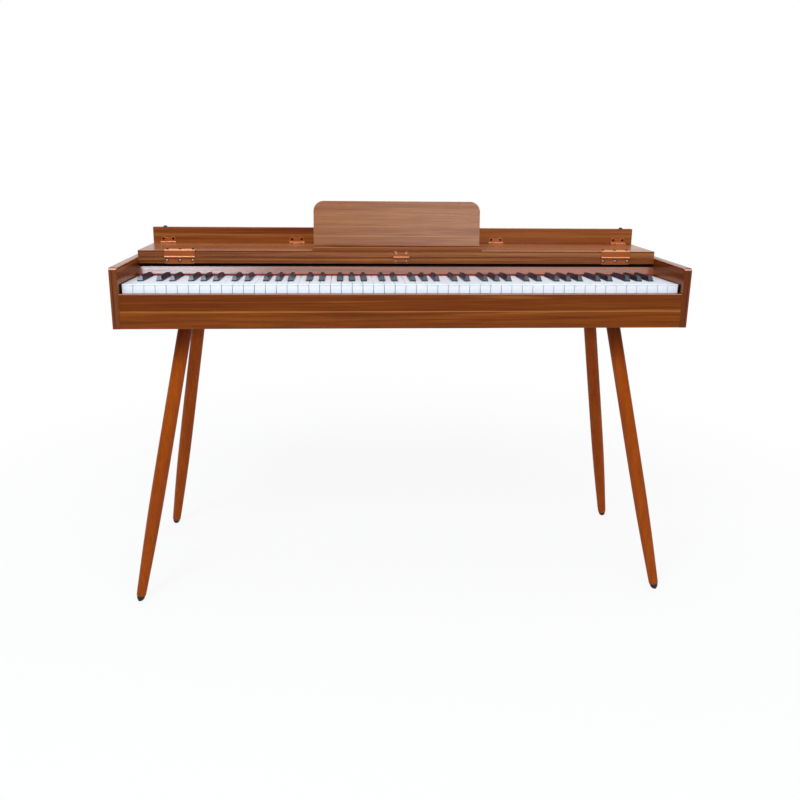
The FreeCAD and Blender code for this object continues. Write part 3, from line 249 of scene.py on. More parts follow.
def arc(
    centre: tuple[float, float], radius: float, start: float, end: float, steps: int
) -> np.ndarray:
    """Points on a circle: (x + r cos a, y + r sin a) at even steps of the angle.

    Args:
        centre: the circle's centre.
        radius: its radius.
        start: the first point's angle, in degrees.
        end: the last point's angle, in degrees.
        steps: how many points there are.

    Returns:
        The points, in order.
    """
    angle = np.radians(np.linspace(start, end, steps))
    return np.stack(
        [centre[0] + radius * np.cos(angle), centre[1] + radius * np.sin(angle)], axis=-1
    )


def rounded_box_outline(
    half_width: float, low: float, high: float, radii: tuple[float, float, float, float],
    steps: int = 6,
) -> np.ndarray:
    """A rectangle with an arc at each corner, anticlockwise from the lower left.

    Args:
        half_width: half the rectangle's width, about zero.
        low: its lower edge.
        high: its upper edge.
        radii: the corner radii at lower left, lower right, upper right and upper left.
        steps: how many points each arc has.

    Returns:
        The outline's points.
    """
    spots = [
        (-half_width + radii[0], low + radii[0], radii[0], 180.0),
        (half_width - radii[1], low + radii[1], radii[1], 270.0),
        (half_width - radii[2], high - radii[2], radii[2], 0.0),
        (-half_width + radii[3], high - radii[3], radii[3], 90.0),
    ]
    return np.concatenate([arc((x, y), r, a, a + 90.0, steps) for x, y, r, a in spots])


def inset(outline: np.ndarray, distance: float) -> np.ndarray:
    """Move an anticlockwise outline inwards along its mitres.

    Each point moves by d (n1 + n2) / (1 + n1 . n2), where n1 and n2 are the inward normals of
    its two edges. At a very sharp corner the divisor is held at its least value.

    Args:
        outline: the points, anticlockwise.
        distance: how far inwards each edge goes.

    Returns:
        The moved points, in the same order.
    """
    least_length = 1e-12
    least_divisor = 0.2
    edge = np.roll(outline, -1, axis=0) - outline
    edge = edge / np.maximum(np.linalg.norm(edge, axis=1, keepdims=True), least_length)
    normal = np.stack([-edge[:, 1], edge[:, 0]], axis=-1)
    before = np.roll(normal, 1, axis=0)
    share = 1.0 + np.sum(normal * before, axis=1, keepdims=True)
    return outline + distance * (normal + before) / np.maximum(share, least_divisor)


def prism(outline: np.ndarray, low: float, high: float, ease: float, steps: int = 3) -> Shell:
    """Raise an outline along Z, with a quarter round of the given ease at both ends.

    Ring by ring the inset is e (1 - cos a) and the height runs e sin a, for a from 0 to 90
    degrees at each end.

    Args:
        outline: the points, anticlockwise seen from +Z.
        low: where it starts.
        high: where it ends.
        ease: the radius of the rounding at both ends.
        steps: how many rings each rounding has after the first.

    Returns:
        The closed surface.
    """
    angle = np.radians(np.linspace(0.0, 90.0, steps + 1))
    insets = ease * (1.0 - np.cos(angle))
    rises = ease * np.sin(angle)
    layers = [(d, low + ease - r) for d, r in zip(insets[::-1], rises[::-1])]
    layers += [(d, high - ease + r) for d, r in zip(insets, rises)]
    rings = [
        np.column_stack([inset(outline, d), np.full(len(outline), z)]) for d, z in layers
    ]
    return tube(np.concatenate(rings), len(rings), len(outline))


def block(low: Point, high: Point, ease: float = 0.0002) -> Shell:
    """A box with rounded edges all round.

    Args:
        low: its low corner.
        high: its high corner.
        ease: the radius of its edges.

    Returns:
        The closed box.
    """
    half = (high[0] - low[0]) / 2.0
    radius = min(ease, half, (high[1] - low[1]) / 2.0)
    outline = rounded_box_outline(half, low[1], high[1], (radius,) * 4, 3)
    return prism(outline, low[2], high[2], ease).shifted((low[0] + high[0]) / 2.0, 0.0, 0.0)


def facing_front() -> Matrix:
    """Stand a flat shape up: its X stays, its Y turns to +Z and its Z to -Y."""
    return Matrix(((1, 0, 0, 0), (0, 0, -1, 0), (0, 1, 0, 0), (0, 0, 0, 1)))


def facing_back() -> Matrix:
    """Turn a shape that stands on its face at the back: its Z turns to +Y."""
    return Matrix.Rotation(-math.pi / 2.0, 4, "X")


def along_x() -> Matrix:
    """Lay a turned shape down: its Z turns to +X."""
    return Matrix(((0, 0, 1, 0), (1, 0, 0, 0), (0, 1, 0, 0), (0, 0, 0, 1)))


def barrel(start: float, end: float, radius: float, y: float, z: float) -> Shell:
    """A hinge barrel along X, with its ends eased in two steps.

    Args:
        start: where it starts along X.
        end: where it ends along X.
        radius: its radius.
        y: its axis's place along Y.
        z: its axis's level.

    Returns:
        The closed barrel.
    """
    ease_share, bulge_share, segments = 0.18, 0.3, 28
    ease = radius * ease_share
    bulge = ease * bulge_share
    length = end - start
    profile = [
        (radius - ease, 0.0), (radius - bulge, bulge), (radius, ease),
        (radius, length - ease), (radius - bulge, length - bulge), (radius - ease, length),
    ]
    return lathe(profile, segments).moved(along_x()).shifted(start, y, z)


@dataclass(frozen=True)
class ScrewHead:
    """A domed screw head with a cross recess, standing on its face at the origin.

    The grid, the arm and its reach are shares of the radius, and the recess of the height.
    """

    radius: float
    height: float
    recess: float = 0.55
    arm: float = 0.15
    arm_reach: float = 0.53
    dome_power: float = 0.6
    grid: tuple[float, ...] = (
        -1.0, -0.86, -0.58, -0.48, -0.19, -0.11, 0.11, 0.19, 0.48, 0.58, 0.86, 1.0
    )

    def shell(self) -> Shell:
        """Build the head over a square grid that is bent into a disc.

        (u, v) goes to x = u sqrt(1 - v v / 2), y = v sqrt(1 - u u / 2). The dome's height is
        h (1 - r r) to the dome's power, less the recess where (u, v) lies in the cross.

        Returns:
            The closed head, with its axis along +Z.
        """
        u, v = np.meshgrid(self.grid, self.grid, indexing="ij")
        x = u * np.sqrt(1.0 - v * v / 2.0)
        y = v * np.sqrt(1.0 - u * u / 2.0)
        far = np.clip(1.0 - (x * x + y * y), 0.0, 1.0)
        one_arm = (abs(u) < self.arm) & (abs(v) < self.arm_reach)
        cross = one_arm | one_arm.T
        z = self.height * (far**self.dome_power - np.where(cross, self.recess, 0.0))
        points = np.stack([x * self.radius, y * self.radius, z], axis=-1).reshape(-1, 3)
        count = len(self.grid)
        row, column = np.meshgrid(np.arange(count - 1), np.arange(count - 1), indexing="ij")
        spot = row * count + column
        quads = np.stack([spot, spot + count, spot + count + 1, spot + 1], axis=-1)
        faces = quads.reshape(-1, 4).tolist()
        side = np.arange(count - 1)
        rim = np.concatenate([
            side, side * count + count - 1, count * count - 1 - side,
            (count - 1 - side) * count,
        ])
        faces.append(rim.tolist())
        return Shell(points, faces)


def finished_piece(
    name: str, shell: Shell, body: str, material: Material,
    replaced: tuple[str, ...] = (),
) -> None:
    """Make a shell into an object that rides on a CAD body.

    Args:
        name: the piece's name.
        shell: its points and faces.
        body: the CAD body that carries it.
        material: its finish.
        replaced: the CAD nodes that it stands for.
    """
    mesh = bpy.data.meshes.new(name)
    mesh.from_pydata(shell.points.tolist(), [], shell.faces)
    work = bmesh.new()
    work.from_mesh(mesh)
    bmesh.ops.remove_doubles(work, verts=work.verts, dist=MERGE_DISTANCE)
    bmesh.ops.recalc_face_normals(work, faces=work.faces)
    work.to_mesh(mesh)
    work.free()
    mesh.shade_smooth()
    mesh.set_sharp_from_angle(angle=math.radians(SMOOTH_DEGREES))
    mesh.materials.append(material)
    piece = bpy.data.objects.new(name, mesh)
    bpy.context.scene.collection.objects.link(piece)
    flats = piece.modifiers.new("Flats", "WEIGHTED_NORMAL")
    flats.mode = "FACE_AREA"
    flats.weight = FLAT_WEIGHT
    flats.keep_sharp = True
    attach(piece, body)
    if replaced:
        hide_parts(*replaced)
    LOG.info("%s: %d points, %d faces", name, len(mesh.vertices), len(mesh.polygons))


# Finishes.


class Grain(Enum):
    """The way that the wood's grain runs, as the turn that brings it to the X axis."""

    ALONG_X = (0.0, 0.0, 0.0)
    ALONG_Y = (0.0, 0.0, -math.pi / 2.0)
    ALONG_Z = (0.0, math.pi / 2.0, 0.0)


class SocketKind(Enum):
    """What a node group's socket carries."""

    VECTOR = "NodeSocketVector"
    COLOUR = "NodeSocketColor"
    VALUE = "NodeSocketFloat"


@dataclass(frozen=True)
class Ramp:
    """A smooth step that carries one range of values to another."""

    low: float
    high: float
    out_low: float = 0.0
    out_high: float = 1.0


@dataclass(frozen=True)
class Noise:
    """A noise pattern, with how many of its cells fit in a metre along X, Y and Z."""

    stretch: tuple[float, float, float]
    detail: float
    roughness: float
    distortion: float = 0.0


class NodeSheet:
    """Adds nodes to one node tree and links them up."""

    def __init__(self, tree: NodeTree) -> None:
        """Keep the tree that the nodes go into."""
        self.tree = tree

    def add(self, kind: str, **settings: object) -> Node:
        """Add a node and set its properties.

        Args:
            kind: the node's type.
            settings: its properties, by name.

        Returns:
            The new node.
        """
        node = self.tree.nodes.new(kind)
        for name, value in settings.items():
            setattr(node, name, value)
        return node

    def link(self, source: NodeSocket, target: NodeSocket) -> None:
        """Join an output to an input."""
        self.tree.links.new(source, target)

    def feed(self, value: object, target: NodeSocket) -> None:
        """Give an input its value.

        Args:
            value: a socket, which is linked, or a plain value, which is set.
            target: the input.
        """
        if isinstance(value, NodeSocket):
            self.link(value, target)
        else:
            target.default_value = value

    def group(self, tree: NodeTree, values: dict[str, object]) -> Node:
        """Place a node group and give its inputs their values.

        Args:
            tree: the group.
            values: a socket or a plain value for each input, by name.

        Returns:
            The group's node.
        """
        node = self.add("ShaderNodeGroup", node_tree=tree)
        for name, value in values.items():
            self.feed(value, node.inputs[name])
        return node

    def parts(self, vector: NodeSocket) -> Node:
        """Add a node that takes a vector apart into X, Y and Z.

        Args:
            vector: the vector's socket.

        Returns:
            The node.
        """
        node = self.add("ShaderNodeSeparateXYZ")
        self.link(vector, node.inputs[0])
        return node

    def math(self, operation: str, first: object, second: object = 0.0) -> NodeSocket:
        """A sum on two values or sockets.

        Args:
            operation: the Math node's operation.
            first: a socket or a number.
            second: a socket or a number.

        Returns:
            The result's socket.
        """
        node = self.add("ShaderNodeMath", operation=operation)
        self.feed(first, node.inputs[0])
        self.feed(second, node.inputs[1])
        return node.outputs[0]

    def noise(
        self, vector: NodeSocket, pattern: Noise, scale: object = 1.0
    ) -> NodeSocket:
        """A noise pattern stretched along the axes.

        Args:
            vector: where the pattern is read.
            pattern: the noise.
            scale: how much finer it is along all axes, a socket or a number.

        Returns:
            The pattern's value, from 0 to 1.
        """
        mapping = self.add("ShaderNodeMapping")
        mapping.inputs["Scale"].default_value = pattern.stretch
        self.link(vector, mapping.inputs["Vector"])
        node = self.add("ShaderNodeTexNoise")
        self.feed(scale, node.inputs["Scale"])
        node.inputs["Detail"].default_value = pattern.detail
        node.inputs["Roughness"].default_value = pattern.roughness
        node.inputs["Distortion"].default_value = pattern.distortion
        self.link(mapping.outputs[0], node.inputs["Vector"])
        return node.outputs[0]

    def remap(self, value: NodeSocket, ramp: Ramp) -> NodeSocket:
        """Carry a value along a ramp.

        Args:
            value: the value's socket.
            ramp: the two ranges.

        Returns:
            The result's socket.
        """
        node = self.add("ShaderNodeMapRange", interpolation_type="SMOOTHSTEP")
        node.inputs["From Min"].default_value = ramp.low
        node.inputs["From Max"].default_value = ramp.high
        node.inputs["To Min"].default_value = ramp.out_low
        node.inputs["To Max"].default_value = ramp.out_high
        self.link(value, node.inputs["Value"])
        return node.outputs[0]

    def mix(
        self, share: object, first: object, second: object, blend: str = "MIX"
    ) -> NodeSocket:
        """Blend two colours.

        Args:
            share: how much of the second, a socket or a number.
            first: a colour or a socket.
            second: a colour or a socket.
            blend: the Mix node's blend type.

        Returns:
            The colour's socket.
        """
        first_input, second_input, output = MIX_COLOURS
        node = self.add("ShaderNodeMix", data_type="RGBA", blend_type=blend)
        self.feed(share, node.inputs["Factor"])
        self.feed(first, node.inputs[first_input])
        self.feed(second, node.inputs[second_input])
        return node.outputs[output]


def new_group(
    name: str, inputs: dict[str, SocketKind], outputs: dict[str, SocketKind]
) -> NodeTree:
    """Start a shader node group.

    Args:
        name: the group's name.
        inputs: what each of its inputs carries, by name.
        outputs: what each of its outputs carries, by name.

    Returns:
        The group, with its sockets and no nodes.
    """
    group = bpy.data.node_groups.new(name, "ShaderNodeTree")
    for direction, sockets in (("INPUT", inputs), ("OUTPUT", outputs)):
        for label, kind in sockets.items():
            group.interface.new_socket(label, in_out=direction, socket_type=kind.value)
    return group


@dataclass(frozen=True)
class WalnutPattern:
    """The walnut laminate's pattern, which every board and leg has.

    Long streaks run along X: two stretched noises make the bands, the places where a third
    passes through its middle value make thin golden veins, and finer ones make the lines and
    the pores. One golden stripe wanders about a level, and the wood above it can be darker.
    """

    broad: Noise = Noise((0.8, 30.0, 30.0), 5.0, 0.55, 0.5)
    band: Noise = Noise((2.2, 110.0, 110.0), 6.0, 0.7, 0.25)
    fine: Noise = Noise((7.0, 420.0, 420.0), 4.0, 0.65)
    pores: Noise = Noise((60.0, 2200.0, 2200.0), 2.0, 0.5)
    waves: Noise = Noise((0.35, 17.0, 17.0), 2.0, 0.45, 0.3)
    wander: Noise = Noise((1.4, 0.0, 0.0), 3.0, 0.55)
    breaks: Noise = Noise((2.6, 0.0, 0.0), 3.0, 0.6)
    broad_share: float = 0.55
    pore_share: float = 0.5
    noise_middle: float = 0.5
    sway: float = 0.005
    dark_to_body: Ramp = Ramp(0.38, 0.54)
    body_to_light: Ramp = Ramp(0.52, 0.66, 0.0, 0.85)
    vein_edge: Ramp = Ramp(0.0, 0.02, 1.0, 0.0)
    vein_fade: Ramp = Ramp(0.42, 0.6, 0.15, 1.0)
    stripe_edge: Ramp = Ramp(0.2, 1.0, 1.0, 0.0)
    stripe_fade: Ramp = Ramp(0.3, 0.6, 0.55, 1.0)
    stripe_ends: Ramp = Ramp(-0.12, 0.12)
    above_edge: Ramp = Ramp(-0.001, 0.004)
    streaks: Ramp = Ramp(0.34, 0.66, 0.82, 1.13)
    unevenness: Ramp = Ramp(0.3, 0.7, 1.2, 0.85)

    def veins(
        self, sheet: NodeSheet, source: bpy_prop_collection,
        broad: NodeSocket,
    ) -> NodeSocket:
        """Where the thin golden veins run.

        Args:
            sheet: the group's nodes.
            source: the group's inputs.
            broad: the broad bands, which make the veins come and go.

        Returns:
            The veins' strength.
        """
        waves = sheet.noise(source["Vector"], self.waves)
        off = sheet.math("ABSOLUTE", sheet.math("SUBTRACT", waves, self.noise_middle))
        vein = sheet.remap(off, self.vein_edge)
        vein = sheet.math("MULTIPLY", vein, sheet.remap(broad, self.vein_fade))
        return sheet.math("MULTIPLY", vein, source["Veins"])

    def stripe(
        self, sheet: NodeSheet, source: bpy_prop_collection
    ) -> tuple[NodeSocket, NodeSocket]:
        """The golden stripe: |z - level + sway| over its width, within its two ends.

        Args:
            sheet: the group's nodes.
            source: the group's inputs.

        Returns:
            The stripe's strength, and the height above its middle.
        """
        place = sheet.parts(source["Vector"]).outputs
        wander = sheet.noise(source["Vector"], self.wander)
        bend = sheet.math("SUBTRACT", wander, self.noise_middle)
        level = sheet.math("SUBTRACT", place["Z"], source["Stripe Level"])
        level = sheet.math("ADD", level, sheet.math("MULTIPLY", bend, self.sway))
        across = sheet.math("DIVIDE", sheet.math("ABSOLUTE", level), source["Stripe Width"])
        stripe = sheet.remap(across, self.stripe_edge)
        fade = sheet.remap(sheet.noise(source["Vector"], self.breaks), self.stripe_fade)
        stripe = sheet.math("MULTIPLY", sheet.math("MULTIPLY", stripe, fade), source["Stripe"])
        begun = sheet.math("SUBTRACT", place["X"], source["Stripe Start"])
        left = sheet.math("SUBTRACT", source["Stripe End"], place["X"])
        within = sheet.remap(sheet.math("MINIMUM", begun, left), self.stripe_ends)
        return sheet.math("MULTIPLY", stripe, within), level

    def build(self) -> NodeTree:
        """Build the group.

        Returns:
            A group that gives a colour, a roughness and a height.
        """
        colours = dict.fromkeys(("Dark", "Body", "Light", "Vein"), SocketKind.COLOUR)
        values = dict.fromkeys(
            ("Veins", "Stripe Level", "Stripe Width", "Stripe", "Above", "Sheen Roughness",
             "Stripe Start", "Stripe End"),
            SocketKind.VALUE,
        )
        group = new_group(
            "WalnutLaminate",
            {"Vector": SocketKind.VECTOR} | colours | values,
            {"Color": SocketKind.COLOUR, "Roughness": SocketKind.VALUE,
             "Height": SocketKind.VALUE},
        )
        sheet = NodeSheet(group)
        source = sheet.add("NodeGroupInput").outputs
        broad, band, fine, pores = (
            sheet.noise(source["Vector"], pattern)
            for pattern in (self.broad, self.band, self.fine, self.pores)
        )
        tone = sheet.math(
            "ADD", sheet.math("MULTIPLY", broad, self.broad_share),
            sheet.math("MULTIPLY", band, 1.0 - self.broad_share),
        )
        colour = sheet.mix(sheet.remap(tone, self.dark_to_body), source["Dark"], source["Body"])
        colour = sheet.mix(sheet.remap(tone, self.body_to_light), colour, source["Light"])
        stripe, level = self.stripe(sheet, source)
        above = sheet.math("MULTIPLY", sheet.remap(level, self.above_edge), source["Above"])
        colour = sheet.mix(above, colour, source["Dark"])
        gold = sheet.math("MAXIMUM", self.veins(sheet, source, broad), stripe)
        colour = sheet.mix(gold, colour, source["Vein"])
        streak = sheet.remap(fine, self.streaks)
        shade = sheet.add("ShaderNodeCombineColor")
        for name in ("Red", "Green", "Blue"):
            sheet.link(streak, shade.inputs[name])
        colour = sheet.mix(1.0, colour, shade.outputs[0], "MULTIPLY")
        uneven = sheet.remap(fine, self.unevenness)
        target = sheet.add("NodeGroupOutput").inputs
        sheet.link(colour, target["Color"])
        sheet.link(
            sheet.math("MULTIPLY", uneven, source["Sheen Roughness"]), target["Roughness"]
        )
        sheet.link(
            sheet.math("ADD", fine, sheet.math("MULTIPLY", pores, self.pore_share)),
            target["Height"],
        )
        return group


@dataclass(frozen=True)
class RimLine:
    """A thin dark line under a board's rounded top edge, on upright faces."""

    dark: Colour = (66, 20, 6)
    near: Ramp = Ramp(0.0006, 0.0014, 0.9, 0.0)
    upright: Ramp = Ramp(0.2, 0.5, 1.0, 0.0)

    def build(self) -> NodeTree:
        """Build the group.

        Returns:
            A group that darkens a colour near a level, where the surface is upright.
        """
        group = new_group(
            "RimLine",
            {"Color": SocketKind.COLOUR, "Vector": SocketKind.VECTOR,
             "Up": SocketKind.VALUE, "Level": SocketKind.VALUE},
            {"Color": SocketKind.COLOUR},
        )
        sheet = NodeSheet(group)
        source = sheet.add("NodeGroupInput").outputs
        height = sheet.parts(source["Vector"]).outputs["Z"]
        off = sheet.math("ABSOLUTE", sheet.math("SUBTRACT", height, source["Level"]))
        upright = sheet.remap(sheet.math("ABSOLUTE", source["Up"]), self.upright)
        share = sheet.math("MULTIPLY", sheet.remap(off, self.near), upright)
        colour = sheet.mix(share, source["Color"], linear(*self.dark))
        sheet.link(colour, sheet.add("NodeGroupOutput").inputs["Color"])
        return group


@dataclass(frozen=True)
class PaintedEdgeHighlight:
    """A painted highlight on rounded upper edges, between the upright face and the flat top."""

    raised: Ramp = Ramp(0.1, 0.3)
    flat: Ramp = Ramp(0.5, 0.85, 1.0, 0.0)

    def build(self) -> NodeTree:
        """Build the group.

        Returns:
            A group that paints a highlight colour where the surface faces half up.
        """
        group = new_group(
            "PaintedEdgeHighlight",
            {"Color": SocketKind.COLOUR, "Highlight Color": SocketKind.COLOUR,
             "Up": SocketKind.VALUE},
            {"Color": SocketKind.COLOUR},
        )
        sheet = NodeSheet(group)
        source = sheet.add("NodeGroupInput").outputs
        raised = sheet.remap(source["Up"], self.raised)
        flat = sheet.remap(source["Up"], self.flat)
        share = sheet.math("MULTIPLY", raised, flat)
        colour = sheet.mix(share, source["Color"], source["Highlight Color"])
        sheet.link(colour, sheet.add("NodeGroupOutput").inputs["Color"])
        return group


@dataclass(frozen=True)
class Mottle:
    """The faint clouds and the grit on plastic, metal, rubber and felt."""

    cloud: Noise = Noise((1.0, 1.0, 1.0), 3.0, 0.6)
    grit: Noise = Noise((1.0, 1.0, 1.0), 2.0, 0.6)
    unevenness: Ramp = Ramp(0.3, 0.7, 0.85, 1.15)

    def build(self) -> NodeTree:
        """Build the group.

        Returns:
            A group that gives a colour between two, a roughness and a height.
        """
        group = new_group(
            "Mottle",
            {"Vector": SocketKind.VECTOR, "Deep": SocketKind.COLOUR,
             "Pale": SocketKind.COLOUR, "Cloud Scale": SocketKind.VALUE,
             "Grit Scale": SocketKind.VALUE, "Sheen Roughness": SocketKind.VALUE},
            {"Color": SocketKind.COLOUR, "Roughness": SocketKind.VALUE,
             "Height": SocketKind.VALUE},
        )
        sheet = NodeSheet(group)
        source = sheet.add("NodeGroupInput").outputs
        target = sheet.add("NodeGroupOutput").inputs
        cloud = sheet.noise(source["Vector"], self.cloud, source["Cloud Scale"])
        sheet.link(sheet.mix(cloud, source["Deep"], source["Pale"]), target["Color"])
        uneven = sheet.remap(cloud, self.unevenness)
        sheet.link(
            sheet.math("MULTIPLY", uneven, source["Sheen Roughness"]), target["Roughness"]
        )
        grit = sheet.noise(source["Vector"], self.grit, source["Grit Scale"])
        sheet.link(grit, target["Height"])
        return group


@dataclass(frozen=True)
class SharedGroups:
    """The node groups that more than one finish uses, each built once."""

    walnut: NodeTree
    rim_line: NodeTree
    edge_highlight: NodeTree
    mottle: NodeTree


@dataclass(frozen=True)
class LaminateFinish:
    """Walnut-pattern laminate on a board, with its grain turned on the narrow edges.

    Colours are 8-bit display colours, and levels and widths are in metres. The narrow edge can
    split into an inner tone and a lighter outer tone, a painted highlight for a rounded outer
    edge, with a thin dark line between; the rim is a thin dark line under the top edge; eased
    is the colour of a painted highlight on rounded upper edges; and painted shade from above
    can deepen with height.
    """

    name: str
    grain: Grain = Grain.ALONG_X
    edge: Grain = Grain.ALONG_Z
    edge_axis: str = "X"
    edge_turn: float = 0.72
    shift: Point = (0.0, 0.0, 0.0)
    dark: Colour = (92, 38, 14)
    body: Colour = (124, 58, 24)
    light: Colour = (150, 84, 38)
    vein: Colour = (172, 112, 54)
    veins: float = 0.55
    stripe_level: float = 0.0
    stripe_width: float = 0.002
    stripe: float = 0.0
    span: tuple[float, float] = (-9.0, 9.0)
    above: float = 0.0
    gloss: float = 0.2
    specular: float = 0.2
    # Where the narrow edge splits into an inner tone and a lighter outer tone, a painted
    # highlight.
    tone_split: float = 0.0
    inner_tone: Colour = (88, 32, 6)
    outer_highlight_tone: Colour = (116, 54, 14)
    split_line_dark: Colour = (52, 18, 8)
    tone_share: float = 0.6
    tone_sides: Ramp = Ramp(-0.0004, 0.0004)
    split_line_near: Ramp = Ramp(0.0002, 0.0014, 0.85, 0.0)
    # The level of a thin dark line under the rounded top edge.
    rim: float = 0.0
    # The colour of a painted highlight on rounded upper edges.
    eased: Colour | None = None
    # Painted shade: a darker colour that deepens with height, for the shade that the cabinet
    # casts on the legs' tops.
    painted_shade_ramp: Ramp | None = None
    painted_shade_colour: Colour = (84, 28, 6)
    ripple: float = 0.08
    ripple_height: float = 0.0001

    def placed(
        self, sheet: NodeSheet, place: NodeSocket, grain: Grain
    ) -> NodeSocket:
        """The pattern's coordinates for one way of the grain.

        Args:
            sheet: the material's nodes.
            place: the object coordinates.
            grain: the way of the grain.

        Returns:
            The turned and shifted coordinates.
        """
        mapping = sheet.add("ShaderNodeMapping")
        mapping.inputs["Rotation"].default_value = grain.value
        mapping.inputs["Location"].default_value = self.shift
        sheet.link(place, mapping.inputs["Vector"])
        return mapping.outputs[0]

    def patterned(
        self, sheet: NodeSheet, walnut: NodeTree, place: NodeSocket,
        on_edge: NodeSocket,
    ) -> Node:
        """Place the walnut pattern, turned on the narrow edges.

        Args:
            sheet: the material's nodes.
            walnut: the pattern's group.
            place: the object coordinates.
            on_edge: 1 on the narrow edge and 0 elsewhere.

        Returns:
            The pattern's node, with this board's colours and measures.
        """
        face_input, edge_input, output = MIX_VECTORS
        vector = sheet.add("ShaderNodeMix", data_type="VECTOR")
        sheet.link(on_edge, vector.inputs["Factor"])
        sheet.link(self.placed(sheet, place, self.grain), vector.inputs[face_input])
        sheet.link(self.placed(sheet, place, self.edge), vector.inputs[edge_input])
        return sheet.group(walnut, {
            "Vector": vector.outputs[output],
            "Dark": linear(*self.dark), "Body": linear(*self.body),
            "Light": linear(*self.light), "Vein": linear(*self.vein), "Veins": self.veins,
            "Stripe Level": self.stripe_level, "Stripe Width": self.stripe_width,
            "Stripe": self.stripe, "Above": self.above, "Sheen Roughness": self.gloss,
            "Stripe Start": self.span[0] + self.shift[0],
            "Stripe End": self.span[1] + self.shift[0],
        })

    def two_toned(
        self, sheet: NodeSheet, place: NodeSocket, on_edge: NodeSocket,
        colour: NodeSocket,
    ) -> NodeSocket:
        """Paint the narrow edge in two tones: a painted highlight on its outer part, for a
        rounded outer edge, and a thin dark line between.

        Args:
            sheet: the material's nodes.
            place: the object coordinates.
            on_edge: 1 on the narrow edge and 0 elsewhere.
            colour: the colour without the joint.

        Returns:
            The colour: lighter outside the split, dark on it, and deeper inside it.
        """
        side = sheet.math("ABSOLUTE", sheet.parts(place).outputs["X"])
        off = sheet.math("SUBTRACT", side, self.tone_split)
        outer = sheet.remap(off, self.tone_sides)
        strips = sheet.mix(outer, linear(*self.inner_tone), linear(*self.outer_highlight_tone))
        share = sheet.math("MULTIPLY", on_edge, self.tone_share)
        colour = sheet.mix(share, colour, strips)
        near = sheet.remap(sheet.math("ABSOLUTE", off), self.split_line_near)
        line = sheet.math("MULTIPLY", near, on_edge)
        return sheet.mix(line, colour, linear(*self.split_line_dark))

    def material(self, groups: SharedGroups) -> Material:
        """Build the board's material.

        Args:
            groups: the shared node groups.

        Returns:
            The material.
        """
        material = bpy.data.materials.new(self.name)
        material.use_nodes = True
        sheet = NodeSheet(material.node_tree)
        shader = material.node_tree.nodes["Principled BSDF"]
        texture = sheet.add("ShaderNodeTexCoord")
        place = texture.outputs["Object"]
        facing = sheet.parts(texture.outputs["Normal"]).outputs
        turned = sheet.math("ABSOLUTE", facing[self.edge_axis])
        on_edge = sheet.math("GREATER_THAN", turned, self.edge_turn)
        pattern = self.patterned(sheet, groups.walnut, place, on_edge)
        colour = pattern.outputs["Color"]
        # Painted highlight on the narrow edge's outer part.
        if self.tone_split:
            colour = self.two_toned(sheet, place, on_edge, colour)
        # Painted shade, darker towards the top.
        if self.painted_shade_ramp:
            share = sheet.remap(sheet.parts(place).outputs["Z"], self.painted_shade_ramp)
            colour = sheet.mix(share, colour, linear(*self.painted_shade_colour))
        if self.rim:
            colour = sheet.group(groups.rim_line, {
                "Color": colour, "Vector": place, "Up": facing["Z"], "Level": self.rim,
            }).outputs["Color"]
        # Painted highlight on rounded upper edges.
        if self.eased:
            colour = sheet.group(groups.edge_highlight, {
                "Color": colour, "Highlight Color": linear(*self.eased), "Up": facing["Z"],
            }).outputs["Color"]
        sheet.link(colour, shader.inputs["Base Color"])
        sheet.link(pattern.outputs["Roughness"], shader.inputs["Roughness"])
        bump = sheet.add("ShaderNodeBump")
        bump.inputs["Strength"].default_value = self.ripple
        bump.inputs["Distance"].default_value = self.ripple_height
        sheet.link(pattern.outputs["Height"], bump.inputs["Height"])
        sheet.link(bump.outputs[0], shader.inputs["Normal"])
        shader.inputs["Specular IOR Level"].default_value = self.specular
        return material


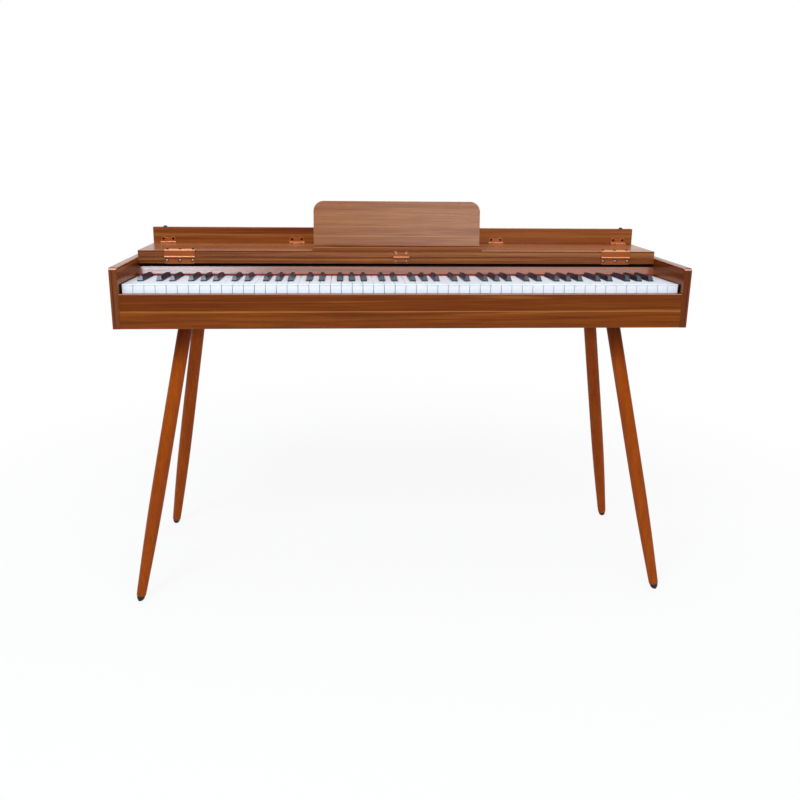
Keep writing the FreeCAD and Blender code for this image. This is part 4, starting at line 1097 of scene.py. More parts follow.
@dataclass(frozen=True)
class PlainFinish:
    """One colour with a faint mottle, for plastic, metal, rubber and felt.

    Scales are in cells per metre. Metal can take a paler colour where it faces up, a painted
    highlight.
    """

    name: str
    colour: Colour
    roughness: float = 0.4
    metallic: float = 0.0
    specular: float = 0.5
    mottle: float = 0.06
    mottle_scale: float = 90.0
    bump: float = 0.0
    bump_scale: float = 900.0
    bump_height: float = 0.0004
    sheen: float = 0.0
    coat: float = 0.0
    coat_roughness: float = 0.12
    # A paler colour painted where the surface faces up: a painted highlight.
    painted_top_highlight: Colour | None = None
    painted_top_highlight_ramp: Ramp = Ramp(0.12, 0.6)

    def material(self, groups: SharedGroups) -> Material:
        """Build the material.

        Args:
            groups: the shared node groups.

        Returns:
            The material.
        """
        material = bpy.data.materials.new(self.name)
        material.use_nodes = True
        sheet = NodeSheet(material.node_tree)
        shader = material.node_tree.nodes["Principled BSDF"]
        texture = sheet.add("ShaderNodeTexCoord")
        base = linear(*self.colour)
        mottled = sheet.group(groups.mottle, {
            "Vector": texture.outputs["Object"],
            "Deep": tuple(c * (1.0 - self.mottle) for c in base[:3]) + (1.0,),
            "Pale": tuple(min(1.0, c * (1.0 + self.mottle)) for c in base[:3]) + (1.0,),
            "Cloud Scale": self.mottle_scale, "Grit Scale": self.bump_scale,
            "Sheen Roughness": self.roughness,
        })
        colour = mottled.outputs["Color"]
        # Painted highlight: paler where the surface faces up.
        if self.painted_top_highlight:
            up = sheet.parts(texture.outputs["Normal"]).outputs["Z"]
            bright = sheet.remap(up, self.painted_top_highlight_ramp)
            colour = sheet.mix(bright, colour, linear(*self.painted_top_highlight))
        sheet.link(colour, shader.inputs["Base Color"])
        sheet.link(mottled.outputs["Roughness"], shader.inputs["Roughness"])
        shader.inputs["Metallic"].default_value = self.metallic
        shader.inputs["Specular IOR Level"].default_value = self.specular
        shader.inputs["Sheen Weight"].default_value = self.sheen
        shader.inputs["Coat Weight"].default_value = self.coat
        shader.inputs["Coat Roughness"].default_value = self.coat_roughness
        if self.bump:
            bump = sheet.add("ShaderNodeBump")
            bump.inputs["Strength"].default_value = self.bump
            bump.inputs["Distance"].default_value = self.bump_height
            sheet.link(mottled.outputs["Height"], bump.inputs["Height"])
            sheet.link(bump.outputs[0], shader.inputs["Normal"])
        return material


class Palette:
    """Every finish on the piano, built once."""

    def __init__(self) -> None:
        """Build the shared groups and the materials."""
        groups = SharedGroups(
            WalnutPattern().build(), RimLine().build(), PaintedEdgeHighlight().build(), Mottle().build()
        )
        finishes: list[LaminateFinish | PlainFinish] = [
            # The rail's eased colour is a painted highlight along its rounded top edge.
            LaminateFinish("Walnut_rail", stripe_level=0.6775, stripe_width=0.0022, stripe=0.7,
                           body=(130, 64, 15), light=(150, 88, 30), dark=(97, 41, 9),
                           veins=0.5, above=0.5, specular=0.11, eased=(214, 166, 150)),
            LaminateFinish("Walnut_shelf", shift=(5.4, 0.2, 0.0), edge=Grain.ALONG_Y,
                           stripe_level=0.7684, stripe_width=0.0028, stripe=0.5,
                           span=(-9.0, 0.3), dark=(102, 46, 18), body=(136, 74, 36),
                           veins=0.3, specular=0.15),
            # The lid's pale colours are partly a painted sheen for its top, and its rim is a
            # thin dark line under the top edge.
            LaminateFinish("Walnut_lid", shift=(1.1, 0.33, 0.0), edge=Grain.ALONG_Y,
                           stripe_level=0.7824, stripe_width=0.0034, stripe=0.6,
                           span=(0.17, 9.0), dark=(118, 60, 28), body=(148, 86, 46),
                           light=(170, 108, 66), veins=0.2, gloss=0.25, specular=0.25,
                           rim=0.7876),
            LaminateFinish("Walnut_flap", shift=(2.3, 0.5, 0.0), stripe_level=0.8100,
                           stripe_width=0.0045, stripe=0.6, body=(140, 74, 32),
                           dark=(112, 50, 20), vein=(164, 104, 50), veins=0.4,
                           specular=0.15),
            LaminateFinish("Walnut_strip", shift=(3.1, 0.7, 0.0), gloss=0.22, specular=0.5,
                           dark=(106, 46, 14), body=(142, 68, 22), light=(166, 94, 36),
                           veins=0.25, ripple=0.02),
            # The stand's lighter colours are partly a painted sheen, for the light that its
            # leaning face catches from the front.
            LaminateFinish("Walnut_stand", shift=(0.7, 1.3, 0.0), stripe_level=0.8227,
                           stripe_width=0.0018, stripe=0.6, dark=(136, 80, 50),
                           body=(152, 96, 60), light=(162, 107, 70), vein=(180, 128, 84),
                           gloss=0.3, specular=0.45),
            LaminateFinish("Walnut_ledge", shift=(1.7, 0.9, 0.0), edge=Grain.ALONG_Y,
                           stripe_level=0.7972, stripe_width=0.0014, stripe=0.7,
                           dark=(132, 68, 30), body=(158, 90, 46), light=(168, 104, 58)),
            # The side's eased colour is a painted highlight on its rounded top edges, its
            # lighter outer tone a painted highlight on the front edge, and its rim a thin dark
            # line under the top edge.
            LaminateFinish("Walnut_side", grain=Grain.ALONG_Y, edge_axis="Y",
                           shift=(0.3, 0.8, 0.0), dark=(98, 42, 10), body=(122, 58, 14),
                           veins=0.3, specular=0.2, tone_split=0.6248, rim=0.7706,
                           eased=(212, 156, 134), ripple=0.03),
            LaminateFinish("Walnut_under", shift=(0.9, 2.1, 0.0)),
            LaminateFinish("Walnut_back", shift=(1.9, 0.1, 0.4)),
            # The legs' tops carry painted shade from the cabinet above them.
            LaminateFinish("Walnut_leg", grain=Grain.ALONG_Z, shift=(0.2, 0.2, 0.2),
                           dark=(144, 62, 8), body=(154, 69, 9), light=(161, 76, 15),
                           veins=0.0, painted_shade_ramp=Ramp(0.53, 0.632, 0.0, 0.84), gloss=0.28,
                           specular=0.08),
            PlainFinish("White_key", (242, 248, 255), roughness=0.22, mottle=0.008),
            # The blue in the black keys' colour is partly a painted reflection, for the cool
            # light on their fronts.
            PlainFinish("Black_key", (18, 23, 38), roughness=0.3, mottle=0.08, specular=0.5),
            PlainFinish("Felt_red", (142, 30, 20), roughness=0.95, mottle=0.25,
                        mottle_scale=700.0, bump=0.6, bump_scale=2400.0, sheen=0.4,
                        specular=0.2),
            # The copper's paler upward faces are a painted highlight, for the lamps' glint on
            # barrels and bends.
            PlainFinish("Copper_leaf", (162, 78, 10), roughness=0.34, metallic=0.2,
                        mottle=0.03, coat=0.25, painted_top_highlight=(224, 144, 92)),
            PlainFinish("Steel_screw", (172, 166, 160), roughness=0.3, metallic=0.9),
            PlainFinish("Steel_plate", (150, 150, 152), roughness=0.4, metallic=1.0),
            # Also the colour of the painted-shadow discs round the cabinet's screw heads.
            PlainFinish("Dark_screw", (9, 6, 5), roughness=0.6, specular=0.12),
            # A near-black fill for the strips that stand in for shadow beside the end keys and
            # under the shelf.
            PlainFinish("Black_shade_fill", (14, 9, 8), roughness=0.9, specular=0.1),
            PlainFinish("Rubber", (30, 29, 29), roughness=0.75, bump=0.2),
            PlainFinish("Black_plastic", (30, 30, 32), roughness=0.5, bump=0.25,
                        bump_scale=1400.0),
            PlainFinish("Circuit_board", (22, 84, 44), roughness=0.4, mottle=0.1),
        ]
        self.materials = {finish.name: finish.material(groups) for finish in finishes}

    def __getitem__(self, name: str) -> Material:
        """The material of this name."""
        return self.materials[name]


NODE_FINISHES: dict[str, str] = {
    "front_rail": "Walnut_rail",
    "rear_top_board": "Walnut_shelf",
    "lid_board": "Walnut_lid",
    "front_flap": "Walnut_flap",
    "fallboard_strip": "Walnut_strip",
    "side_panel_left": "Walnut_side",
    "side_panel_right": "Walnut_side",
    "bottom_board": "Walnut_under",
    "back_board": "Walnut_back",
    "keybed_frame": "Black_plastic",
    "felt_strips": "Felt_red",
    "sensor_strip": "Circuit_board",
    "leg_plates": "Steel_plate",
    "speakers": "Black_plastic",
    "speaker_grilles": "Black_plastic",
    "main_circuit_board": "Circuit_board",
    "socket_panel": "Black_plastic",
}


# The piano's parts.


@dataclass
class Keyboard:
    """The 88 keys, shaped and rounded like moulded ones, and dark strips beside them that stand
    in for the shadow there.

    Keys are drawn level and then leaned back about their front top edge.
    """

    palette: Palette
    pitch: float = 0.0235
    gap: float = 0.0008
    count: int = 52
    front: float = -0.168
    top: float = BASE + 0.095
    bottom: float = BASE + 0.075
    fall: float = 0.0036
    lip: float = 0.0006
    cap: float = 0.002
    groove: float = 0.0009
    corner: float = 0.0008
    corner_steps: int = 4
    body_inset: float = 0.00012
    body_ease: float = 0.0002
    neck_inset: float = 0.0003
    neck_overlap: float = 0.0003
    neck_ease: float = 0.0001
    ease: float = 0.0007
    ease_steps: int = 4
    shoulder: float = -0.1195
    felt: float = -0.022
    rear: float = 0.052
    black_width: float = 0.0131
    black_top_width: float = 0.0088
    black_rise: float = 0.0125
    black_fall: float = 0.0032
    black_foot: float = 0.0024
    black_slope: float = 0.0060
    black_front: float = -0.118
    black_rear_gap: float = 0.0016
    black_sink: float = 0.001
    black_end: float = 0.0008
    black_end_drop: float = 0.0006
    black_crown: float = 0.0036
    black_crown_steps: int = 8
    black_shoulder: float = 0.0004
    black_flanks: tuple[float, ...] = (0.0, 0.14, 0.28, 0.42, 0.56)
    nose_steps: tuple[float, ...] = (
        0.0, 0.00025, 0.0008, 0.0022, 0.0036, 0.005, 0.0061, 0.0069, 0.0077, 0.009
    )
    nose_foot_share: float = 0.85
    nose_soft: float = 0.0009
    nose_clear: float = 0.05
    stick_ease: float = 0.0002
    side_gap: float = 0.0005
    # The dark strips beside the end keys, which stand in for the shadow in those gaps.
    strip_inner: float = 0.61115
    strip_outer: float = 0.6135
    strip_rise: float = 0.0006
    strip_ease: float = 0.0003
    strip_front_gap: float = 0.0016
    strip_rear_gap: float = 0.003
    strip_foot: float = BASE + 0.055
    strip_overlap: float = 0.0018
    rail_reach: float = 0.006
    rail_top: float = BASE + 0.0766
    letters: str = "CDEFGAB"
    first_c: int = 2
    runs: dict[str, int] = field(
        default_factory=lambda: {"C": 3, "D": 3, "E": 3, "F": 4, "G": 4, "A": 4, "B": 4}
    )
    places: dict[str, int] = field(
        default_factory=lambda: {"C": 0, "D": 1, "E": 2, "F": 0, "G": 1, "A": 2, "B": 3}
    )

    def letter(self, index: int) -> str:
        """The note letter of a white key, counted from the left."""
        return self.letters[(index - self.first_c) % len(self.letters)]

    def slot_width(self) -> float:
        """The room that a black key takes between two tails."""
        return self.black_width + 2.0 * self.side_gap

    def tail(self, index: int) -> tuple[float, float]:
        """The left and right of a white key's tail.

        The keys between two gaps in the black keys share the room that the black keys leave,
        so each tail is (pitch n - slot (n - 1)) / n wide.

        Args:
            index: the white key, from 0 at the left.

        Returns:
            Two places along X.
        """
        letter = self.letter(index)
        run, place = self.runs[letter], self.places[letter]
        width = (self.pitch * run - self.slot_width() * (run - 1)) / run
        start = -self.pitch * self.count / 2.0 + self.pitch * (index - place)
        left = start + (width + self.slot_width()) * place
        return left, left + width

    def has_sharp(self, index: int) -> bool:
        """Whether a black key stands on a white key's right."""
        letter = self.letter(index)
        return self.places[letter] < self.runs[letter] - 1 and index < self.count - 1

    def slant(self) -> Matrix:
        """Lean a key back about its front top edge, so that it falls towards the felt.

        Returns:
            The turn about that edge, by the angle whose tangent is fall over depth.
        """
        angle = math.atan(self.fall / (self.felt - self.front))
        edge = Matrix.Translation((0.0, self.front, self.top))
        return edge @ Matrix.Rotation(-angle, 4, "X") @ edge.inverted()

    def plan(self, index: int, front: float) -> np.ndarray:
        """A white key seen from above: a round-cornered head and the tail behind it.

        Args:
            index: the white key.
            front: where its front face is.

        Returns:
            The outline, anticlockwise.
        """
        left = -self.pitch * self.count / 2.0 + self.pitch * index + self.gap / 2.0
        right = left + self.pitch - self.gap
        tail_left, tail_right = self.tail(index)
        soft, steps = self.corner, self.corner_steps
        corners = [
            arc((left + soft, front + soft), soft, 180.0, 270.0, steps),
            arc((right - soft, front + soft), soft, 270.0, 360.0, steps),
        ]
        if self.has_sharp(index):
            corners.append(np.array(
                [[right, self.shoulder], [tail_right, self.shoulder], [tail_right, self.rear]]
            ))
        else:
            corners.append(np.array([[right, self.rear]]))
        if self.places[self.letter(index)] > 0 and index > 0:
            corners.append(np.array(
                [[tail_left, self.rear], [tail_left, self.shoulder], [left, self.shoulder]]
            ))
        else:
            corners.append(np.array([[left, self.rear]]))
        return np.concatenate(corners)

    def white(self, index: int) -> Shell:
        """One white key: a body, and a thin cap whose lip stands over a groove.

        Args:
            index: the white key.

        Returns:
            The key's closed parts.
        """
        joint = self.top - self.cap
        lap = self.neck_overlap
        body = inset(self.plan(index, self.front + self.lip), self.body_inset)
        neck = inset(self.plan(index, self.front + self.lip + self.groove), self.neck_inset)
        parts = [
            prism(body, self.bottom, joint - self.groove, self.body_ease),
            prism(neck, joint - self.groove - lap, joint + lap, self.neck_ease),
            prism(self.plan(index, self.front), joint, self.top, self.ease, self.ease_steps),
        ]
        return joined(parts).moved(self.slant())

    def nose(self, length: float, rise: float) -> tuple[np.ndarray, np.ndarray]:
        """The plane that cuts a black key's front: q(y) = foot + (y - first step) lean.

        Below the first step it is nearly upright, and behind the nose it is well clear.

        Args:
            length: the black key's length over its top.
            rise: how high the key stands above its section's foot.

        Returns:
            The distances from the key's front, and the plane's height at each.
        """
        foot = self.black_foot + self.black_sink
        along = np.array(self.nose_steps)
        lean = (rise - foot) / self.black_slope
        plane = foot + (along - along[1]) * lean
        plane[0] = foot * self.nose_foot_share
        rest = [length * 0.5, length - self.black_end, length]
        clear = [self.nose_clear] * len(rest)
        return np.concatenate([along, rest]), np.concatenate([plane, clear])

    def section(self, rise: float) -> tuple[np.ndarray, np.ndarray]:
        """A black key's section across Y: tapering sides under a crown with round shoulders.

        Args:
            rise: how high the key stands above its section's foot.

        Returns:
            The places across and their heights, from the right foot over to the left foot.
        """
        steps = np.radians(np.linspace(0.0, 90.0, self.black_crown_steps))
        half_low = self.black_width / 2.0
        shoulder_x = self.black_top_width / 2.0 + self.black_shoulder
        flank_z = np.array(self.black_flanks) * rise
        flank_x = half_low + (shoulder_x - half_low) * flank_z / (rise - self.black_crown)
        crown_x = shoulder_x - self.black_crown * (1.0 - np.cos(steps))
        crown_z = rise - self.black_crown * (1.0 - np.sin(steps))
        right_x = np.concatenate([flank_x, crown_x])
        right_z = np.concatenate([flank_z, crown_z])
        across = np.concatenate([right_x, -right_x[::-1]])
        return across, np.concatenate([right_z, right_z[::-1]])

    def black(self, index: int) -> Shell:
        """The black key to the right of a white key.

        Its section is an arch p(x), and the plane q(y) cuts its nose. The height is the
        smooth minimum of the two, q (1 - h) + p h - r h (1 - h) with
        h = 0.5 + 0.5 (q - p) / r held between 0 and 1, so the plane meets the arch in a
        round edge. The top falls evenly to the felt.

        Args:
            index: the white key on its left.

        Returns:
            The key's closed parts.
        """
        middle = self.tail(index)[1] + self.slot_width() / 2.0
        length = self.felt - self.black_rear_gap - self.black_front
        low = self.top - self.black_sink
        rise = self.black_rise + self.black_sink
        along, plane = self.nose(length, rise)
        behind = self.nose_steps[-1]
        drop = self.black_fall * np.clip((along - behind) / (length - behind), 0.0, 1.0)
        drop[-1] += self.black_end_drop
        section_x, section_z = self.section(rise)
        arch = section_z[None, :] * (1.0 - drop / rise)[:, None]
        soft = self.nose_soft
        share = np.clip(0.5 + 0.5 * (plane[:, None] - arch) / soft, 0.0, 1.0)
        blend = plane[:, None] * (1.0 - share) + arch * share - soft * share * (1.0 - share)
        x = np.broadcast_to(section_x, arch.shape)
        y = np.broadcast_to((self.black_front + along)[:, None], x.shape)
        z = low + np.maximum(blend, 0.0)
        points = np.stack([x + middle, y, z], axis=-1).reshape(-1, 3)
        half_low = self.black_width / 2.0
        stick = block(
            (middle - half_low, self.black_front, self.bottom),
            (middle + half_low, self.rear, low + self.stick_ease),
            self.stick_ease,
        )
        crown = tube(points, len(along), len(section_x))
        return joined([crown, stick]).moved(self.slant())

    def end_shade_strips(self) -> Shell:
        """Black strips in the gaps beside the end keys, which also come over the rail: painted
        shadow where the gaps lie in shade.

        Returns:
            The four closed strips.
        """
        reaches = (
            (self.front + self.strip_front_gap, self.felt - self.strip_rear_gap,
             self.strip_foot),
            (self.front - self.rail_reach, self.front + self.strip_overlap, self.rail_top),
        )
        sides = ((-self.strip_outer, -self.strip_inner), (self.strip_inner, self.strip_outer))
        strips = [
            block((left, start, low), (right, end, self.top + self.strip_rise),
                  self.strip_ease)
            for left, right in sides
            for start, end, low in reaches
        ]
        return joined(strips).moved(self.slant())

    def key_sets(self) -> list[tuple[str, list[int], bool]]:
        """Which keys each CAD node holds.

        Returns:
            Each node's name, its white keys or those on its black keys' left, and whether
            its keys are white.
        """
        whites = len(self.letters)
        octave = {
            n: list(range(self.first_c + whites * (n - 1), self.first_c + whites * n))
            for n in range(1, 8)
        }
        octave[1] = list(range(self.first_c)) + octave[1]
        octave[7] = octave[7] + [self.count - 1]
        sets: list[tuple[str, list[int], bool]] = []
        for number in (1, 2, 3, 5, 6, 7):
            indices = octave[number]
            sharps = [i for i in indices if self.has_sharp(i)]
            sets.append((f"white_keys_octave_{number}", indices, True))
            sets.append((f"black_keys_octave_{number}", sharps, False))
        names = [(self.letter(i).lower(), i) for i in octave[4]]
        sets += [(f"key_{name}4", [i], True) for name, i in names]
        sets += [(f"key_{name}_sharp4", [i], False) for name, i in names if self.has_sharp(i)]
        return sets

    def build(self) -> None:
        """Make every key set, every key of the middle octave and the end strips."""
        for node, indices, is_white in self.key_sets():
            shells = [self.white(i) if is_white else self.black(i) for i in indices]
            finished_piece(
                node + "_shaped",
                joined(shells),
                node,
                self.palette["White_key" if is_white else "Black_key"],
                replaced=(node,),
            )
        # Dark strips of painted shadow beside the end keys.
        finished_piece("keyboard_end_shade_strips", self.end_shade_strips(), "cabinet",
                       self.palette["Black_shade_fill"])


@dataclass
class Hinges:
    """Every hinge with its leaves, barrels, pins and screws, and the leg plates' screws."""

    palette: Palette
    shelf_front: float = -0.0135
    axis: tuple[float, float] = (-0.0163, BASE + 0.13425)
    shelf_bottom: float = BASE + 0.119
    shelf_top: float = BASE + 0.134
    half_lid: float = 0.613
    large_width: float = 0.070
    large_inset: float = 0.0957
    large_spread: float = 0.0296
    large_leaf: float = 0.0016
    large_barrel: float = 0.0026
    large_count: int = 5
    large_drop: float = 0.0008
    large_corner: float = 0.003
    large_ease: float = 0.0003
    large_screw_drop: float = 0.0075
    pin: float = 0.0013
    pin_out: float = 0.0006
    flange: float = 0.018
    bend: float = 0.0022
    bend_steps: int = 8
    small_count: int = 3
    small_ease: float = 0.0002
    centre_width: float = 0.038
    centre_leaf: float = 0.001
    centre_barrel: float = 0.0024
    centre_height: float = 0.012
    centre_waist: float = 0.0045
    lobe_x: float = 0.012
    lobe_start: float = -35.0
    lobe_steps: int = 10
    lobe_foot: float = 0.13
    lobe_dip: Profile = ((0.45, 0.35), (0.9, 0.85))
    flap_width: float = 0.039
    flap_front: float = 0.143
    flap_axis: tuple[float, float] = (0.1406, BASE + 0.1518)
    flap_outer_inset: float = 0.037
    flap_inner_share: float = 0.415987
    flap_barrel: float = 0.0021
    flap_leaf: float = 0.001
    flap_height: float = 0.012
    flap_waist: float = 0.003
    barrel_gap: float = 0.0005
    sink: float = 0.0001
    large_head: ScrewHead = ScrewHead(0.0034, 0.0017)
    lid_head: ScrewHead = ScrewHead(0.0034, 0.0027)
    centre_head: ScrewHead = ScrewHead(0.0027, 0.0014)
    flap_head: ScrewHead = ScrewHead(0.0029, 0.0013)
    plate_head: ScrewHead = ScrewHead(0.004, 0.0015)
    plate_screw: float = 0.024
    # Dark discs round the cabinet screws' heads, painted shadow round them.
    shade_ring_margin: float = 0.0008
    shade_ring_height: float = 0.00015
    shade_ring_steps: int = 24

    def knuckles(
        self, left: float, width: float, count: int, which: int, radius: float,
        axis: tuple[float, float], low: tuple[float, float], high: tuple[float, float],
    ) -> list[Shell]:
        """Every other barrel of a hinge, each with the web that joins it to its leaf.

        Args:
            left: the hinge's left end.
            width: its whole width.
            count: how many barrels both leaves have together.
            which: 0 for the leaf with the first barrel, 1 for the other.
            radius: the barrels' radius.
            axis: the pin's place along Y, and its level.
            low: the webs' low edge along Y and Z.
            high: the webs' high edge along Y and Z.

        Returns:
            The closed barrels and webs.
        """
        step = width / count
        gap = self.barrel_gap / 2.0
        shells = []
        for i in range(which, count, 2):
            start, end = left + step * i + gap, left + step * (i + 1) - gap
            shells.append(barrel(start, end, radius, *axis))
            shells.append(block((start, *low), (end, *high)))
        return shells

    def large_middles(self) -> tuple[float, float]:
        """Where the two large hinges stand along X."""
        outer = self.half_lid - self.large_inset
        return -outer, outer

    def large_lower(self, middle: float) -> list[Shell]:
        """The leaf on the rear top board's edge, with its barrels and the pin.

        Args:
            middle: the hinge's place along X.

        Returns:
            The closed parts.
        """
        half = self.large_width / 2.0
        reach = self.large_barrel + LEAF_SLACK
        face = self.shelf_front - self.large_leaf
        low = self.shelf_bottom - self.large_drop - self.axis[1]
        corners = (self.large_corner,) * 2 + (self.small_ease,) * 2
        outline = rounded_box_outline(half, low, -reach, corners)
        plate = prism(outline, 0.0, self.large_leaf, self.large_ease)
        plate = plate.moved(facing_front()).shifted(middle, self.shelf_front, self.axis[1])
        pin = barrel(middle - half - self.pin_out, middle + half + self.pin_out, self.pin,
                     *self.axis)
        return [plate, pin] + self.knuckles(
            middle - half, self.large_width, self.large_count, 0, self.large_barrel,
            self.axis,
            (face + self.sink, self.axis[1] - reach - LEAF_SLACK),
            (self.shelf_front, self.axis[1]),
        )

    def large_upper(self, middle: float) -> list[Shell]:
        """The leaf over the lid's edge, one sheet bent round it, with its barrels.

        Args:
            middle: the hinge's place along X.

        Returns:
            The closed parts.
        """
        half = self.large_width / 2.0
        reach = self.large_barrel + LEAF_SLACK
        face = self.shelf_front - self.large_leaf
        top = LID_TOP + self.large_leaf
        low = self.axis[1] + reach
        back = self.shelf_front + self.flange
        bend = (face + self.bend, top - self.bend)
        outline = np.concatenate([
            [[face, low], [self.shelf_front, low], [self.shelf_front, LID_TOP],
             [back, LID_TOP], [back, top]],
            arc(bend, self.bend, 90.0, 180.0, self.bend_steps),
        ])
        sheet = prism(outline, middle - half, middle + half, self.small_ease)
        return [sheet.moved(along_x())] + self.knuckles(
            middle - half, self.large_width, self.large_count, 1, self.large_barrel,
            self.axis,
            (face + self.sink, self.axis[1]),
            (self.shelf_front, self.axis[1] + reach + LEAF_SLACK),
        )

    def lobed(self, half: float, reach: float, height: float, waist: float) -> np.ndarray:
        """The outline of a small leaf with a round lobe at each of its two screws.

        It rises from its barrels at reach, follows an arc round each screw, and sinks
        between the lobes to the waist.

        Args:
            half: half the leaf's width.
            reach: where its straight edge is.
            height: how far it stands above that edge.
            waist: how far the edge sinks between the lobes.

        Returns:
            The outline, anticlockwise, with the barrels below it.
        """
        radius = height / 2.0
        crest = reach + height
        middle = (self.lobe_x, crest - radius)
        lobe = arc(middle, radius, self.lobe_start, 90.0, self.lobe_steps)
        dip = [[self.lobe_x - radius * x, crest - waist * z] for x, z in self.lobe_dip]
        dip.append([0.0, crest - waist])
        base = np.array([[half, reach], [half, reach + height * self.lobe_foot]])
        side = np.concatenate([base, lobe, dip])
        return np.concatenate([side, side[::-1][1:] * np.array([-1.0, 1.0])])

    def centre_shells(self, direction: int) -> list[Shell]:
        """One scalloped leaf of the small middle hinge, below or above its barrels.

        Args:
            direction: -1 for the lower leaf and 1 for the upper one.

        Returns:
            The leaf and its barrels.
        """
        half = self.centre_width / 2.0
        reach = self.centre_barrel + LEAF_SLACK
        outline = self.lobed(half, reach, self.centre_height, self.centre_waist)
        if direction < 0:
            outline = outline[::-1] * np.array([1.0, -1.0])
        plate = prism(outline, 0.0, self.centre_leaf, self.small_ease)
        plate = plate.moved(facing_front()).shifted(0.0, self.shelf_front, self.axis[1])
        low = self.axis[1] - (reach + LEAF_SLACK if direction < 0 else 0.0)
        return [plate] + self.knuckles(
            -half, self.centre_width, self.small_count, max(direction, 0),
            self.centre_barrel, self.axis,
            (self.shelf_front - self.centre_leaf + self.sink, low),
            (self.shelf_front, low + reach + LEAF_SLACK),
        )

    def flap_middles(self) -> list[float]:
        """Where the four flap hinges stand.

        Returns:
            Their middles along X.
        """
        outer = self.half_lid - self.flap_outer_inset
        inner = self.half_lid * self.flap_inner_share
        return [-outer, -inner, inner, outer]

    def flap_leaves(self, middle: float) -> tuple[list[Shell], list[Shell]]:
        """The two leaves of one flap hinge, with their barrels.

        Args:
            middle: the hinge's place along X.

        Returns:
            The leaf that lies on the lid, and the one that stands on the flap's face.
        """
        half = self.flap_width / 2.0
        axis_y, axis_z = self.flap_axis
        reach = self.flap_barrel + LEAF_SLACK
        edge, top = axis_y - reach, LID_TOP + self.flap_leaf
        low, face = axis_z + reach, self.flap_front - self.flap_leaf
        outline = self.lobed(half, 0.0, self.flap_height, self.flap_waist)
        lying = prism(outline[::-1] * np.array([1.0, -1.0]), LID_TOP, top, self.small_ease)
        upright = prism(outline, 0.0, self.flap_leaf, self.small_ease).moved(facing_front())
        on_lid = [lying.shifted(middle, edge, 0.0)] + self.knuckles(
            middle - half, self.flap_width, self.small_count, 0, self.flap_barrel,
            self.flap_axis, (edge - LEAF_SLACK, LID_TOP), (axis_y, top - self.sink),
        )
        on_flap = [upright.shifted(middle, self.flap_front, low)] + self.knuckles(
            middle - half, self.flap_width, self.small_count, 1, self.flap_barrel,
            self.flap_axis, (face + self.sink, axis_z), (self.flap_front, low + LEAF_SLACK),
        )
        return on_lid, on_flap

    def large_spots(self) -> list[float]:
        """Where the large hinges' screws are along X."""
        steps = (-self.large_spread, 0.0, self.large_spread)
        return [middle + step for middle in self.large_middles() for step in steps]

    def rail_spots(self) -> list[Point]:
        """Where the large hinges' lower screws stand.

        Returns:
            The places on their leaves.
        """
        face = self.shelf_front - self.large_leaf
        level = self.shelf_top - self.large_screw_drop
        return [(x, face, level) for x in self.large_spots()]

    def centre_spots(self, direction: int) -> list[Point]:
        """Where the middle hinge's screws stand.

        Args:
            direction: -1 for its lower leaf and 1 for its upper one.

        Returns:
            The places on that leaf.
        """
        rise = self.centre_barrel + LEAF_SLACK + self.centre_height / 2.0
        face = self.shelf_front - self.centre_leaf
        level = self.axis[1] + direction * rise
        return [(x, face, level) for x in (-self.lobe_x, self.lobe_x)]

    def cabinet_heads(self) -> list[Shell]:
        """The screw heads on the cabinet's leaves and under the four leg plates.

        Returns:
            The closed heads.
        """
        large = self.large_head.shell().moved(facing_front())
        small = self.centre_head.shell().moved(facing_front())
        heads = [large.shifted(*spot) for spot in self.rail_spots()]
        heads += [small.shifted(*spot) for spot in self.centre_spots(-1)]
        down = self.plate_head.shell().moved(Matrix.Rotation(math.pi, 4, "X"))
        hole = self.plate_screw
        spots = [
            (side_x * LEG_HEAD[0] + dx, side_y * LEG_HEAD[1] + dy)
            for side_x in (-1, 1) for side_y in (-1, 1)
            for dx in (-hole, hole) for dy in (-hole, hole)
        ]
        return heads + [down.shifted(x, y, PLATE_LEVEL) for x, y in spots]

    def shade_rings(self) -> list[Shell]:
        """Dark discs under the heads on the cabinet's leaves: painted shadow round each head.

        Returns:
            The closed discs.
        """
        found = []
        for head, spots in (
            (self.large_head, self.rail_spots()), (self.centre_head, self.centre_spots(-1))
        ):
            radius = head.radius + self.shade_ring_margin
            disc = lathe([(radius, 0.0), (radius, self.shade_ring_height)], self.shade_ring_steps)
            disc = disc.moved(facing_front())
            found += [disc.shifted(*spot) for spot in spots]
        return found

    def lid_and_flap_heads(self) -> tuple[list[Shell], list[Shell]]:
        """The dark screw heads on the lid's leaves and on the flap's.

        Returns:
            The lid's closed heads, and the flap's.
        """
        tall = self.lid_head.shell()
        wide = self.flap_head.shell()
        upright = wide.moved(facing_front())
        level = LID_TOP + self.large_leaf
        lid = [
            tall.shifted(x, self.shelf_front + self.flange / 2.0, level)
            for x in self.large_spots()
        ]
        flap = []
        reach = self.flap_barrel + LEAF_SLACK + self.flap_height / 2.0
        face = self.flap_front - self.flap_leaf
        for middle in self.flap_middles():
            for side in (-self.lobe_x, self.lobe_x):
                x = middle + side
                flap.append(upright.shifted(x, face, self.flap_axis[1] + reach))
                lid.append(wide.shifted(x, self.flap_axis[0] - reach, LID_TOP + self.flap_leaf))
        return lid, flap

